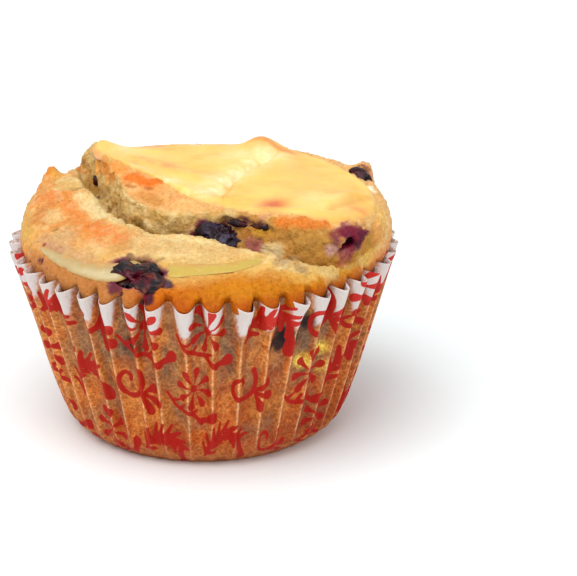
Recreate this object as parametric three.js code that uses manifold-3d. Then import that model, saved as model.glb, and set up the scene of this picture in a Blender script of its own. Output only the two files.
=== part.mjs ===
// A large berry and cheesecake muffin in a pleated paper case.
// Millimetres, +Z up. The origin is the centre of the case's underside, on the surface it stands on.
// The muffin is seen from the front along +Y, with +X on the right.

import * as THREE from 'three';
import { mergeVertices } from 'three/addons/utils/BufferGeometryUtils.js';
import Module from 'manifold-3d';

const wasm = await Module();
wasm.setup();

// ---------------------------------------------------------------- driving dimensions

const GAP = 0.3; // clearance between neighbouring pieces
const MERGE_DISTANCE = 1e-4;
const FULL_TURN = 2 * Math.PI;
const DEGREE = Math.PI / 180;
const FRONT = -90 * DEGREE; // direction of the front, from +X

// The paper case: one row for each height, from the edge of the flat base up to the rim.
const PAPER = 0.4;
const CASE_ROWS = [
  { radius: 29.5, height: 0, flute: 0.2 },
  { radius: 33.8, height: 3.6, flute: 0.9 },
  { radius: 36.7, height: 10.5, flute: 1.5 },
  { radius: 40.9, height: 24.5, flute: 1.7 },
  { radius: 44.7, height: 37.5, flute: 2.4 },
  { radius: 47.4, height: 45.5, flute: 4 },
];
const VALLEY_LIFT = 1.2; // the rim's valleys stand this much higher than its ridges
const FLUTES = 42;
const FRONT_RIDGES = [-54, -46, -36.5, -29.7, -21, -14.6, -4.6, 3.8, 12.8, 21.5, 29.8, 38.8];
const FLUTE_UNEVENNESS = 0.9; // degrees, on the ridges that follow round the back
const FLUTE_SCATTER = 2.4; // spreads that unevenness without a pattern
const COLUMNS_PER_FLUTE = 4;

// The baked top: a superellipse dome over the rim, higher behind the crack than before it.
const DOME_FOOT = 46;
const DOME_RADIUS = 45.1;
const DOME_UNEVENNESS = 0.3;
const DOME_POWER = { least: 2.55, sides: 1.25, right: 0.1, back: 0.45 };
const SHOULDER_RISE = 10.4;
const CAP_RISE = 15.2;
const CAP_EDGE = 2; // half the width over which the shoulder's rise turns into the cap's
const BUMPS = [
  { x: 14, y: 26, size: 5, rise: 4 }, // crest of the cheesecake at the back
  { x: 30, y: -18, size: 13, rise: 2 }, // full right-hand lobe
  { x: -28, y: 27.5, size: 6.5, rise: 4.6 }, // raised corner at the back left
  { x: -34, y: 6, size: 14, rise: 5 }, // high shoulder on the left
  { x: -38.2, y: 13.5, size: 2.3, rise: 6 }, // nub on the left
  { x: 39.5, y: 16.5, size: 3, rise: 4.6 }, // peak over the berry at the back right
  { x: 30, y: -34, size: 9, rise: -3 }, // low shoulder at the front right
];
const CREASE = { from: [5, -8], to: [15, 14], width: 2.2, depth: 1.1 };

// The crack: its trough from the back left, round the front, to the right.
// inward is how far the cap's torn wall leans back between the trough and the lip,
// and outward is how far the shoulder's torn edge lies from the trough's foot.
const CRACK_WIDTH = 3.2;
const CRACK_FLOOR_SHARE = 0.4; // of half the width, where the floor meets the cap's wall
const CRACK_FLOOR_STEP = 1; // how much higher the floor ends on the shoulder's side
const CRACK_FLARE = 2; // widening above the lip
const CRACK_TOP = 70;
const CRACK_END_HEIGHT = 62;
const CRACK_STEPS = 34;
const CRACK = [
  { x: -32.5, y: 33, floor: 55, inward: 1.2, outward: 0.6 },
  { x: -28.5, y: 17.5, floor: 53.5, inward: 1.4, outward: 1.2 },
  { x: -23.6, y: 1.5, floor: 51.8, inward: 1.4, outward: 2 },
  { x: -17.2, y: -11.5, floor: 50.6, inward: 1.4, outward: 1.2 },
  { x: -10.2, y: -17.3, floor: 50.4, inward: 1, outward: 0.8 },
  { x: -3, y: -19, floor: 50.2, inward: 1.6, outward: 0.4 },
  { x: 5.4, y: -22.4, floor: 49.6, inward: 3.2, outward: 1.6 },
  { x: 14, y: -26.3, floor: 48.8, inward: 3.2, outward: 2 },
  { x: 24, y: -28.4, floor: 48.4, inward: 3.6, outward: 2.6 },
  { x: 33, y: -26.6, floor: 48.6, inward: 2.4, outward: 1.4 },
  { x: 39, y: -20, floor: 50, inward: 1, outward: 0.8 },
  { x: 44.5, y: -11, floor: 52, inward: 1, outward: 0.4 },
];

// The cheesecake spread on the cap: its outline in plan, in order round its middle.
const SPREAD_MIDDLE = new THREE.Vector2(7, 4);
const SPREAD_THICKNESS = 2.6;
const SPREAD_EDGE = 0.8;
const SPREAD_COLUMNS = 42;
const SPREAD_SHARES = [0.3, 0.6, 0.83, 1];
const SPREAD_HEADROOM = 6; // height of the free space above the spread
const SPREAD_OUTLINE = [
  [41.6, -7], [40.8, 3], [36, 12], [28, 22], [14, 31], [-6, 34], [-22, 32], [-27.6, 26],
  [-25, 14], [-19, 6.5], [-13, 0.5], [-7.5, -7], [-2, -13], [5, -17.2], [13, -20],
  [22, -21.4], [31, -21.4], [38, -15],
];

// The cheesecake layer inside, which shows on the shoulder from the left round to the front.
const LAYER_THICKNESS = 2.4;
const LAYER_THIN = 0.55; // share of the thickness where it runs out at the front right
const LAYER_THINNING = { from: -115 * DEGREE, to: -75 * DEGREE };
const LAYER_TAPER = 0.35; // share lost between the middle and the edge
const LAYER_HEIGHT = 51.5;
const LAYER_TILT = 1.2; // up towards the right
const LAYER_DIP = { depth: 6.5, from: 16, to: 40 };
const LAYER_REACH = 48;
const LAYER_HIDDEN_REACH = 27;
const LAYER_SHOWN = { middle: -108.5 * DEGREE, half: 40 * DEGREE, end: 52 * DEGREE };
const LAYER_SHARES = [0.4, 0.7, 0.87, 1];
const LAYER_COLUMNS = 42;

const BERRY_DETAIL = 2;

// Berries: middle, and radii along X, Y and Z before the turn round the vertical.
const BERRIES = [
  { name: 'berry_front', at: [-14.8, -35.8, 50.3], radii: [6.4, 4.6, 4.8], turn: -22 },
  { name: 'berry_crack_left', at: [3.4, -18, 54], radii: [4.7, 2.9, 2.6], turn: -15 },
  { name: 'berry_crack_right', at: [12, -19.4, 57], radii: [5.4, 1.8, 2.2], turn: -18 },
  { name: 'berry_right', at: [34.8, -20.4, 54.2], radii: [3.4, 2.6, 3.2], turn: 48 },
  { name: 'berry_back', at: [38.4, 13.2, 57.8], radii: [3.1, 3, 3], turn: 0 },
  { name: 'berry_left', at: [-27, 15, 55], radii: [1.9, 4.2, 2.1], turn: 10 },
];
// Berries at the crumb's side, level with it behind the paper.
const SIDE_BERRIES = [
  { name: 'berry_side_left', at: [-16.6, -34.6, 34.6], radii: [4.6, 4.4, 4.4], turn: -26 },
  { name: 'berry_side_middle', at: [17.8, -34, 34.4], radii: [4.4, 4.4, 4.6], turn: 28 },
];

// ---------------------------------------------------------------- small helpers

function smoothstep(low, high, value) {
  return THREE.MathUtils.smoothstep(value, low, high);
}

function bell(distance, size) {
  return Math.exp(-((distance / size) ** 2));
}

// The turn between two directions, from 0 to half a turn.
function angleBetween(a, b) {
  return Math.abs(Math.atan2(Math.sin(a - b), Math.cos(a - b)));
}

function segmentDistance(x, y, from, to) {
  const dx = to[0] - from[0];
  const dy = to[1] - from[1];
  const along = ((x - from[0]) * dx + (y - from[1]) * dy) / (dx * dx + dy * dy);
  const t = THREE.MathUtils.clamp(along, 0, 1);
  return Math.hypot(x - from[0] - t * dx, y - from[1] - t * dy);
}

function polar(radius, angle, height) {
  return new THREE.Vector3(radius * Math.cos(angle), radius * Math.sin(angle), height);
}

// Joins two rings of points, which may differ in number, with triangles that face outwards.
function stitch(lower, upper, indices) {
  let i = 0;
  let j = 0;
  while (i < lower.count || j < upper.count) {
    const a = lower.start + (i % lower.count);
    const b = upper.start + (j % upper.count);
    if ((i + 0.5) / lower.count <= (j + 0.5) / upper.count) {
      i += 1;
      if (lower.count > 1) indices.push(a, lower.start + (i % lower.count), b);
    } else {
      j += 1;
      if (upper.count > 1) indices.push(a, upper.start + (j % upper.count), b);
    }
  }
}

// A closed surface through rings of points. The first and last ring hold one point each.
function ringGeometry(rings) {
  const positions = [];
  const indices = [];
  let previous = null;
  for (const ring of rings) {
    const current = { start: positions.length / 3, count: ring.length };
    for (const point of ring) positions.push(point.x, point.y, point.z);
    if (previous) stitch(previous, current, indices);
    previous = current;
  }
  const geometry = new THREE.BufferGeometry();
  geometry.setAttribute('position', new THREE.Float32BufferAttribute(positions, 3));
  geometry.setIndex(indices);
  return geometry;
}

function toSolid(geometry) {
  const bare = geometry.clone();
  bare.deleteAttribute('normal');
  bare.deleteAttribute('uv');
  const merged = mergeVertices(bare, MERGE_DISTANCE);
  return new wasm.Manifold(new wasm.Mesh({
    numProp: 3,
    vertProperties: new Float32Array(merged.attributes.position.array),
    triVerts: new Uint32Array(merged.index.array),
  }));
}

function toGeometry(solid) {
  const mesh = solid.getMesh();
  const geometry = new THREE.BufferGeometry();
  geometry.setAttribute('position', new THREE.BufferAttribute(mesh.vertProperties, 3));
  geometry.setIndex(new THREE.BufferAttribute(mesh.triVerts, 1));
  return geometry;
}

// ---------------------------------------------------------------- paper case

// Directions of the outward ridges: uneven at the front, then round the back to close the ring.
function ridgeAngles() {
  const front = FRONT_RIDGES.map((degrees) => FRONT + degrees * DEGREE);
  const first = front[0] + FULL_TURN;
  const last = front[front.length - 1];
  const spaces = FLUTES - front.length + 1;
  const back = [];
  for (let k = 1; k < spaces; k += 1) {
    const even = last + ((first - last) * k) / spaces;
    back.push(even + FLUTE_UNEVENNESS * DEGREE * Math.sin(FLUTE_SCATTER * k * k + k));
  }
  return [...front, ...back];
}

// One column for each step across a flute, with valley 0 on a ridge and 1 in a valley.
function fluteColumns() {
  const ridges = ridgeAngles();
  const columns = [];
  for (let k = 0; k < FLUTES; k += 1) {
    const next = k + 1 < FLUTES ? ridges[k + 1] : ridges[0] + FULL_TURN;
    for (let step = 0; step < COLUMNS_PER_FLUTE; step += 1) {
      const across = step / COLUMNS_PER_FLUTE;
      columns.push({
        angle: THREE.MathUtils.lerp(ridges[k], next, across),
        valley: 0.5 - 0.5 * Math.cos(across * FULL_TURN),
      });
    }
  }
  return columns;
}

const COLUMNS = fluteColumns();
const RIM = CASE_ROWS[CASE_ROWS.length - 1];

function rowRing(row, inset, raise) {
  const lift = row === RIM ? VALLEY_LIFT : 0;
  return COLUMNS.map(({ angle, valley }) => {
    const radius = row.radius - valley * row.flute - inset;
    return polar(radius, angle, row.height + valley * lift + raise);
  });
}

function makePaperCase() {
  const outside = CASE_ROWS.map((row) => rowRing(row, 0, 0));
  const inside = CASE_ROWS.map((row, i) => rowRing(row, PAPER, i === 0 ? PAPER : 0)).reverse();
  return ringGeometry([
    [new THREE.Vector3(0, 0, 0)],
    ...outside,
    ...inside,
    [new THREE.Vector3(0, 0, PAPER)],
  ]);
}

// ---------------------------------------------------------------- shape of the baked top

const crackCurve = new THREE.CatmullRomCurve3(
  CRACK.map(({ x, y, floor }) => new THREE.Vector3(x, y, floor)),
);
const crackPath = crackCurve.getPoints(CRACK_STEPS);

// Distance in plan from the crack's trough: positive on the cap, negative on the shoulder.
function capSide(x, y) {
  let nearest = Infinity;
  let side = 1;
  for (let k = 0; k < CRACK_STEPS; k += 1) {
    const a = crackPath[k];
    const b = crackPath[k + 1];
    const distance = segmentDistance(x, y, [a.x, a.y], [b.x, b.y]);
    if (distance < nearest) {
      nearest = distance;
      side = (b.x - a.x) * (y - a.y) - (b.y - a.y) * (x - a.x) > 0 ? 1 : -1;
    }
  }
  return side * nearest;
}

// The dome is round-shouldered at the front, fuller at the back and steep at both sides.
function domePower(angle) {
  const { least, sides, right, back } = DOME_POWER;
  return least + sides * Math.cos(angle) ** 2 + right * Math.cos(angle) + back * Math.sin(angle);
}

function domeRadius(angle) {
  return DOME_RADIUS + DOME_UNEVENNESS * (Math.cos(angle) + Math.sin(3 * angle + 1));
}

function domeRise(x, y) {
  const onCap = smoothstep(-CAP_EDGE, CAP_EDGE, capSide(x, y));
  let rise = THREE.MathUtils.lerp(SHOULDER_RISE, CAP_RISE, onCap);
  for (const bump of BUMPS) rise += bump.rise * bell(Math.hypot(x - bump.x, y - bump.y), bump.size);
  return rise - CREASE.depth * bell(segmentDistance(x, y, CREASE.from, CREASE.to), CREASE.width);
}

function domeHeight(x, y) {
  const angle = Math.atan2(y, x);
  const share = Math.min(Math.hypot(x, y) / domeRadius(angle), 1);
  const power = domePower(angle);
  return DOME_FOOT + domeRise(x, y) * (1 - share ** power) ** (1 / power);
}

// ---------------------------------------------------------------- crumb

// The crumb stands against the case's valleys, and near the rim it swells into the ridges.
const SIDE_ROWS = [0, 3.6, 10.5, 24.5, 36];
const SWELL = { ridgeRadius: 45.2, valleyRadius: 42.2, ridgeHeight: 43.6, valleyHeight: 43.6 };
const COLLAR = { ridgeRadius: 45.3, valleyRadius: 42.2, ridgeHeight: 46.4, valleyHeight: 47.6 };
const BROW_HEIGHT = 49.2;
const DOME_COLUMNS = 84;
const DOME_RINGS = [
  { share: 0.945, columns: 84 }, { share: 0.9, columns: 84 }, { share: 0.84, columns: 84 },
  { share: 0.77, columns: 84 }, { share: 0.69, columns: 84 }, { share: 0.6, columns: 84 },
  { share: 0.48, columns: 42 }, { share: 0.34, columns: 42 }, { share: 0.17, columns: 21 },
];

// Every so many columns of the case, for rings that need fewer points.
function thinned(columns) {
  return COLUMNS.filter((column, i) => i % (COLUMNS.length / columns) === 0);
}

function valleyRadius(height) {
  const above = CASE_ROWS.findIndex((row) => row.height >= height && row.height > 0);
  const low = CASE_ROWS[above - 1];
  const high = CASE_ROWS[above];
  const share = (height - low.height) / (high.height - low.height);
  return THREE.MathUtils.lerp(low.radius - low.flute, high.radius - high.flute, share);
}

function sideRing(height) {
  const radius = valleyRadius(height) - PAPER - GAP;
  return thinned(FLUTES).map(({ angle }) => polar(radius, angle, Math.max(height, PAPER + GAP)));
}

function flutedRing({ ridgeRadius, valleyRadius: inner, ridgeHeight, valleyHeight }) {
  const { lerp } = THREE.MathUtils;
  return COLUMNS.map(({ angle, valley }) => {
    return polar(lerp(ridgeRadius, inner, valley), angle, lerp(ridgeHeight, valleyHeight, valley));
  });
}

function domeRing({ share, columns }) {
  return thinned(columns).map(({ angle }) => {
    const edge = polar(share * domeRadius(angle), angle, 0);
    return edge.setZ(domeHeight(edge.x, edge.y));
  });
}

// The brow of the crust, where the dome starts above the case's highest points.
function browRing() {
  return thinned(DOME_COLUMNS).map(({ angle }) => {
    const edge = polar(domeRadius(angle), angle, 0);
    const rise = domeRise(edge.x, edge.y);
    const power = domePower(angle);
    const share = (1 - ((BROW_HEIGHT - DOME_FOOT) / rise) ** power) ** (1 / power);
    return polar(share * domeRadius(angle), angle, BROW_HEIGHT);
  });
}

function makeWholeCrumb() {
  return ringGeometry([
    [new THREE.Vector3(0, 0, PAPER + GAP)],
    ...SIDE_ROWS.map(sideRing),
    flutedRing(SWELL),
    flutedRing(COLLAR),
    browRing(),
    ...DOME_RINGS.map(domeRing),
    [new THREE.Vector3(0, 0, domeHeight(0, 0))],
  ]);
}

// The wedge that the crack leaves between the cap's wall and the shoulder's.
function makeCrackWedge(grow) {
  const leanCurve = new THREE.CatmullRomCurve3(
    CRACK.map(({ x, y, inward }) => new THREE.Vector3(x, y, inward)),
  );
  const openCurve = new THREE.CatmullRomCurve3(
    CRACK.map(({ x, y, outward }) => new THREE.Vector3(x, y, outward)),
  );
  const leans = leanCurve.getPoints(CRACK_STEPS);
  const opens = openCurve.getPoints(CRACK_STEPS);
  const half = CRACK_WIDTH / 2 + grow;
  const rings = crackPath.map((point, k) => {
    const before = crackPath[Math.max(k - 1, 0)];
    const after = crackPath[Math.min(k + 1, CRACK_STEPS)];
    const along = new THREE.Vector3(after.x - before.x, after.y - before.y, 0).normalize();
    const offset = (distance, height) => new THREE.Vector3(
      point.x - along.y * distance,
      point.y + along.x * distance,
      height,
    );
    const lip = half + leans[k].z;
    const edge = -half - opens[k].z;
    return [
      offset(half * CRACK_FLOOR_SHARE, point.z - grow),
      offset(lip, DOME_FOOT + CAP_RISE),
      offset(lip + CRACK_FLARE, CRACK_TOP),
      offset(edge, CRACK_TOP),
      offset(edge, DOME_FOOT + SHOULDER_RISE),
      offset(-half, point.z - grow + CRACK_FLOOR_STEP),
    ];
  });
  const first = crackPath[0].clone().setZ(CRACK_END_HEIGHT);
  const last = crackPath[CRACK_STEPS].clone().setZ(CRACK_END_HEIGHT);
  return ringGeometry([[first], ...rings, [last]]);
}

// ---------------------------------------------------------------- cheesecake

const spreadCurve = new THREE.CatmullRomCurve3(
  SPREAD_OUTLINE.map(([x, y]) => new THREE.Vector3(x, y, 0)),
  true,
);
const spreadOutline = spreadCurve.getPoints(SPREAD_COLUMNS).slice(0, SPREAD_COLUMNS);

// Points of the spread's upper or lower face at a share of the way out to its edge.
function spreadRing(share, sink, grow) {
  return spreadOutline.map((edge) => {
    const fromMiddle = new THREE.Vector2(edge.x, edge.y).sub(SPREAD_MIDDLE);
    const reach = fromMiddle.length() + grow;
    const point = fromMiddle.normalize().multiplyScalar(reach * share).add(SPREAD_MIDDLE);
    return new THREE.Vector3(point.x, point.y, domeHeight(point.x, point.y) - sink);
  });
}

function spreadDepth(share) {
  return THREE.MathUtils.lerp(SPREAD_THICKNESS, SPREAD_EDGE, share ** 2);
}

function spreadPole(sink) {
  const { x, y } = SPREAD_MIDDLE;
  return [new THREE.Vector3(x, y, domeHeight(x, y) - sink)];
}

function makeSpread() {
  return ringGeometry([
    spreadPole(SPREAD_THICKNESS),
    ...SPREAD_SHARES.map((share) => spreadRing(share, spreadDepth(share), 0)),
    ...[...SPREAD_SHARES].reverse().map((share) => spreadRing(share, 0, 0)),
    spreadPole(0),
  ]);
}

// The hollow that holds the spread, open to the sky above it.
function makeSpreadHollow() {
  return ringGeometry([
    spreadPole(SPREAD_THICKNESS + GAP),
    ...SPREAD_SHARES.map((share) => spreadRing(share, spreadDepth(share) + GAP, GAP)),
    spreadRing(1, -SPREAD_HEADROOM, GAP),
    spreadPole(-SPREAD_HEADROOM),
  ]);
}

// How far the layer reaches from the axis: past the surface only where it shows.
function layerReach(angle) {
  const hidden = smoothstep(LAYER_SHOWN.half, LAYER_SHOWN.end, angleBetween(angle, LAYER_SHOWN.middle));
  return THREE.MathUtils.lerp(LAYER_REACH, LAYER_HIDDEN_REACH, hidden);
}

function layerMiddle(radius, angle) {
  const edge = LAYER_HEIGHT + LAYER_TILT * Math.cos(angle);
  return edge - LAYER_DIP.depth * (1 - smoothstep(LAYER_DIP.from, LAYER_DIP.to, radius));
}

function layerHalf(share, angle) {
  const thinned = smoothstep(LAYER_THINNING.from, LAYER_THINNING.to, angle) * share;
  const side = THREE.MathUtils.lerp(1, LAYER_THIN, thinned);
  return (LAYER_THICKNESS / 2) * side * (1 - LAYER_TAPER * share ** 4);
}

function makeLayer(grow) {
  const face = (share, sign) => {
    const ring = [];
    for (let i = 0; i < LAYER_COLUMNS; i += 1) {
      const angle = (i / LAYER_COLUMNS) * FULL_TURN - Math.PI;
      const radius = share * (layerReach(angle) + grow);
      const height = layerMiddle(radius, angle) + sign * (layerHalf(share, angle) + grow);
      ring.push(polar(radius, angle, height));
    }
    return ring;
  };
  const pole = (sign) => [
    new THREE.Vector3(0, 0, layerMiddle(0, 0) + sign * (LAYER_THICKNESS / 2 + grow)),
  ];
  return ringGeometry([
    pole(-1),
    ...LAYER_SHARES.map((share) => face(share, -1)),
    ...[...LAYER_SHARES].reverse().map((share) => face(share, 1)),
    pole(1),
  ]);
}

// ---------------------------------------------------------------- berries

function makeBerry({ at, radii, turn }, grow) {
  const geometry = new THREE.IcosahedronGeometry(1, BERRY_DETAIL);
  geometry.scale(radii[0] + grow, radii[1] + grow, radii[2] + grow);
  geometry.rotateZ(turn * DEGREE);
  geometry.translate(...at);
  return geometry;
}

// ---------------------------------------------------------------- assembly

const materials = {
  paper: new THREE.MeshStandardMaterial({ color: 0xb5562a, roughness: 0.55, metalness: 0 }),
  crumb: new THREE.MeshStandardMaterial({ color: 0xe09a45, roughness: 0.8, metalness: 0 }),
  cheesecake: new THREE.MeshStandardMaterial({ color: 0xf8dc86, roughness: 0.5, metalness: 0 }),
  berry: new THREE.MeshStandardMaterial({ color: 0x2c1620, roughness: 0.35, metalness: 0 }),
};

const group = new THREE.Group();

function addPiece(name, geometry, material) {
  const mesh = new THREE.Mesh(geometry, material);
  mesh.name = name;
  group.add(mesh);
}

const wholeCrumb = toSolid(makeWholeCrumb());
const wideCrack = toSolid(makeCrackWedge(GAP));

let crumb = wholeCrumb
  .subtract(toSolid(makeCrackWedge(0)))
  .subtract(toSolid(makeSpreadHollow()))
  .subtract(toSolid(makeLayer(GAP)));
let layer = toSolid(makeLayer(0)).intersect(wholeCrumb).subtract(wideCrack);
let spread = toSolid(makeSpread()).subtract(wideCrack);
for (const berry of [...BERRIES, ...SIDE_BERRIES]) {
  const socket = toSolid(makeBerry(berry, GAP));
  crumb = crumb.subtract(socket);
  layer = layer.subtract(socket);
  spread = spread.subtract(socket);
}

addPiece('paper_case', makePaperCase(), materials.paper);
addPiece('crumb', toGeometry(crumb), materials.crumb);
addPiece('cheesecake_spread', toGeometry(spread), materials.cheesecake);
addPiece('cheesecake_layer', toGeometry(layer), materials.cheesecake);
for (const berry of BERRIES) addPiece(berry.name, makeBerry(berry, 0), materials.berry);
for (const berry of SIDE_BERRIES) {
  const flush = toSolid(makeBerry(berry, 0)).intersect(wholeCrumb);
  addPiece(berry.name, toGeometry(flush), materials.berry);
}

export default group;
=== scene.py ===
"""A berry and cheesecake muffin in its pleated paper case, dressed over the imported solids.

Sizes are in millimetres and become metres when a mesh is made. +Z is up, +X is the viewer's
right and the viewer looks along +Y. Colours are given as sRGB values from 0 to 255.
"""

import functools
import math

import bmesh
import bpy
import numpy as np
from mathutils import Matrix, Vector


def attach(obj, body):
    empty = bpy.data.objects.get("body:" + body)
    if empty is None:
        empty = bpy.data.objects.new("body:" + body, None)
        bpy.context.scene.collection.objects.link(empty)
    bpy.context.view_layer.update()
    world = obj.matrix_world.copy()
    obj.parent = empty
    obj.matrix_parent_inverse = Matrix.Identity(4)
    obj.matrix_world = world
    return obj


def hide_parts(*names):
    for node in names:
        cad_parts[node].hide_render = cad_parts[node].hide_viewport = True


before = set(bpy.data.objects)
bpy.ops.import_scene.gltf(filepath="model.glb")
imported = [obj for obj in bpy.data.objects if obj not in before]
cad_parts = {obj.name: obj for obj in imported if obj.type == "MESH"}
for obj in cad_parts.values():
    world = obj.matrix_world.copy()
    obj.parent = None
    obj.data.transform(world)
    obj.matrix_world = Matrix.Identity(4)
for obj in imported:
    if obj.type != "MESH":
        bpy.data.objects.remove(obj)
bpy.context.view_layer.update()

MM = 0.001
TURN = 2 * math.pi
FAR = 1e9  # farther than anything on the muffin


# ------------------------------------------------------------------ shape, as in the solids

CASE_RADIUS = [29.5, 33.8, 36.7, 40.9, 44.7, 47.4]
CASE_HEIGHT = [0, 3.6, 10.5, 24.5, 37.5, 45.5]
CASE_FLUTE = [0.2, 0.9, 1.5, 1.7, 2.4, 4.0]
PAPER = 0.3
RIM_HEIGHT = CASE_HEIGHT[-1]
VALLEY_LIFT = 1.2
FLUTES = 42
FRONT = -math.pi / 2
FRONT_RIDGES = [-54, -46, -36.5, -29.7, -21, -14.6, -4.6, 3.8, 12.8, 21.5, 29.8, 38.8]
FLUTE_UNEVENNESS = 0.9

DOME_FOOT = 46.0
DOME_RADIUS, DOME_SHIFT, DOME_WAVE = 45.1, 0.3, 0.3
DOME_POWER, POWER_SIDES, POWER_RIGHT, POWER_BACK = 2.55, 1.25, 0.1, 0.45  # how square its profile is
SHOULDER_RISE = 10.4
CAP_RISE = 15.2
CAP_SIDE = 10.0  # any distance from the crack that is well on the cap
BUMPS = [  # x, y, size, rise
    (14, 26, 5, 4),
    (30, -18, 13, 2),
    (-28, 27.5, 6.5, 4.6),
    (-34, 6, 14, 5),
    (-38.2, 13.5, 2.3, 6),
    (39.5, 16.5, 3, 4.6),
    (30, -34, 9, -3),
]
CREASE_FROM, CREASE_TO = (5, -8), (15, 14)
CREASE_WIDTH, CREASE_DEPTH = 2.2, 1.1

CRACK_WIDTH = 3.2
CRACK_STEPS = 66
CRACK = [  # x, y, floor, how far the cap's wall leans inward, and the shoulder's outward
    (-32.5, 33, 55, 1.2, 0.6),
    (-28.5, 17.5, 53.5, 1.4, 1.2),
    (-23.6, 1.5, 51.8, 1.4, 2.0),
    (-17.2, -11.5, 50.6, 1.4, 1.2),
    (-10.2, -17.3, 50.4, 1.0, 0.8),
    (-3, -19, 50.2, 1.6, 0.4),
    (5.4, -22.4, 49.6, 3.2, 1.6),
    (14, -26.3, 48.8, 3.2, 2.0),
    (24, -28.4, 48.4, 3.6, 2.6),
    (33, -26.6, 48.6, 2.4, 1.4),
    (39, -20, 50, 1.0, 0.8),
    (44.5, -11, 52, 1.0, 0.4),
]

SPREAD_MIDDLE = (7, 4)
SPREAD_THICKNESS, SPREAD_EDGE = 2.6, 0.8
SPREAD_OUTLINE = [
    (41.6, -7), (40.8, 3), (36, 12), (28, 22), (14, 31), (-6, 34), (-22, 32), (-27.6, 26),
    (-25, 14), (-19, 6.5), (-13, 0.5), (-7.5, -7), (-2, -13), (5, -17.2), (13, -20),
    (22, -21.4), (31, -21.4), (38, -15),
]

LAYER_THICKNESS, LAYER_HEIGHT, LAYER_TILT = 2.4, 51.5, 1.2
LAYER_DIP, LAYER_DIP_RADII = 6.5, (16, 40)
LAYER_HIDDEN_REACH = 27

BERRIES = {  # middle, radii along X, Y and Z, turn in degrees
    "berry_front": ((-14.8, -35.8, 50.3), (6.4, 4.6, 4.8), -22),
    "berry_crack_left": ((3.4, -18, 54), (4.7, 2.9, 2.6), -15),
    "berry_crack_right": ((12, -19.4, 57), (5.4, 1.8, 2.2), -18),
    "berry_right": ((34.8, -20.4, 54.2), (3.4, 2.6, 3.2), 48),
    "berry_back": ((38.4, 13.2, 57.8), (3.1, 3, 3), 0),
    "berry_left": ((-27, 15, 55), (1.9, 4.2, 2.1), 10),
}
SIDE_BERRIES = {
    "berry_side_left": ((-16.6, -34.6, 34.6), (4.6, 4.4, 4.4), -26),
    "berry_side_middle": ((17.8, -34, 34.4), (4.4, 4.4, 4.6), 28),
}


# ------------------------------------------------------------------ numbers


def smoothstep(low, high, value):
    t = np.clip((value - low) / (high - low), 0.0, 1.0)
    return t * t * (3 - 2 * t)


def mix(a, b, t):
    return a + (b - a) * t


def bell(distance, size):
    return np.exp(-((distance / size) ** 2))


def soft_max(a, b, size):
    """The larger of two fields, rounded over a width of size where they meet."""
    h = np.clip(0.5 + 0.5 * (a - b) / size, 0.0, 1.0)
    return mix(b, a, h) + size * h * (1 - h)


def srgb(red, green, blue):
    c = np.array([red, green, blue]) / 255.0
    return np.where(c <= 0.04045, c / 12.92, ((c + 0.055) / 1.055) ** 2.4)


def hashed(ix, iy, iz, seed):
    """A repeatable random number from 0 to 1 for each lattice point."""
    h = (ix * 374761393 + iy * 668265263 + iz * 1440662683 + seed * 974634777) & 0xFFFFFFFF
    h = ((h ^ (h >> 13)) * 1274126177) & 0xFFFFFFFF
    h = ((h ^ (h >> 16)) * 2246822519) & 0xFFFFFFFF
    return ((h ^ (h >> 15)) & 0xFFFFFF) / 16777215.0


def value_noise(x, y, z, seed):
    """Smooth noise from -1 to 1 with one bump for each unit of length."""
    cell = [np.floor(a).astype(np.int64) for a in (x, y, z)]
    t = [a - c for a, c in zip((x, y, z), cell)]
    fade = [a * a * a * (a * (a * 6 - 15) + 10) for a in t]
    total = 0.0
    for corner in range(8):
        step = [(corner >> axis) & 1 for axis in range(3)]
        weight = 1.0
        for axis in range(3):
            weight = weight * (fade[axis] if step[axis] else 1 - fade[axis])
        total = total + weight * hashed(*(c + s for c, s in zip(cell, step)), seed)
    return total * 2 - 1


def fractal(x, y, z, size, octaves, seed, fall=0.5):
    """Noise whose largest bumps are size across, each octave half as large as the last."""
    total = 0.0
    weight = 1.0
    for octave in range(octaves):
        scale = 2**octave / size
        shift = 17.3 * octave
        total = total + weight * value_noise(x * scale + shift, y * scale - shift, z * scale, seed + octave)
        weight *= fall
    return total


def relief(x, y, z, height, *noise):
    """Fractal noise of a height. The noise is its size, octaves, seed and fall."""
    return height * fractal(x, y, z, *noise)


def cells(x, y, z, size, seed):
    """Distance to the nearest of scattered points, as a share of their spacing."""
    p = [np.asarray(a) / size for a in (x, y, z)]
    base = [np.floor(a).astype(np.int64) for a in p]
    nearest = np.full(np.shape(p[0]), FAR)
    for number in range(27):
        step = (number % 3 - 1, number // 3 % 3 - 1, number // 9 - 1)
        c = [b + s for b, s in zip(base, step)]
        gap = sum((c[i] + hashed(*c, seed + i) - p[i]) ** 2 for i in range(3))
        nearest = np.minimum(nearest, gap)
    return np.sqrt(nearest)


def catmull_rom(points, steps, closed=False):
    """A centripetal Catmull-Rom curve through points, sampled at even steps of its parameter."""
    p = np.array(points, dtype=float)
    count = len(p)
    spans = count if closed else count - 1
    samples = []
    for number in range(steps + (0 if closed else 1)):
        place = number * spans / steps
        k = min(int(place), spans - 1)
        t = place - k
        if closed:
            a, b, c, d = (p[(k + i) % count] for i in (-1, 0, 1, 2))
        else:
            b, c = p[k], p[k + 1]
            a = p[k - 1] if k else 2 * p[0] - p[1]
            d = p[k + 2] if k + 2 < count else 2 * p[-1] - p[-2]
        samples.append(catmull_rom_point(a, b, c, d, t))
    return np.array(samples)


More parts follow.
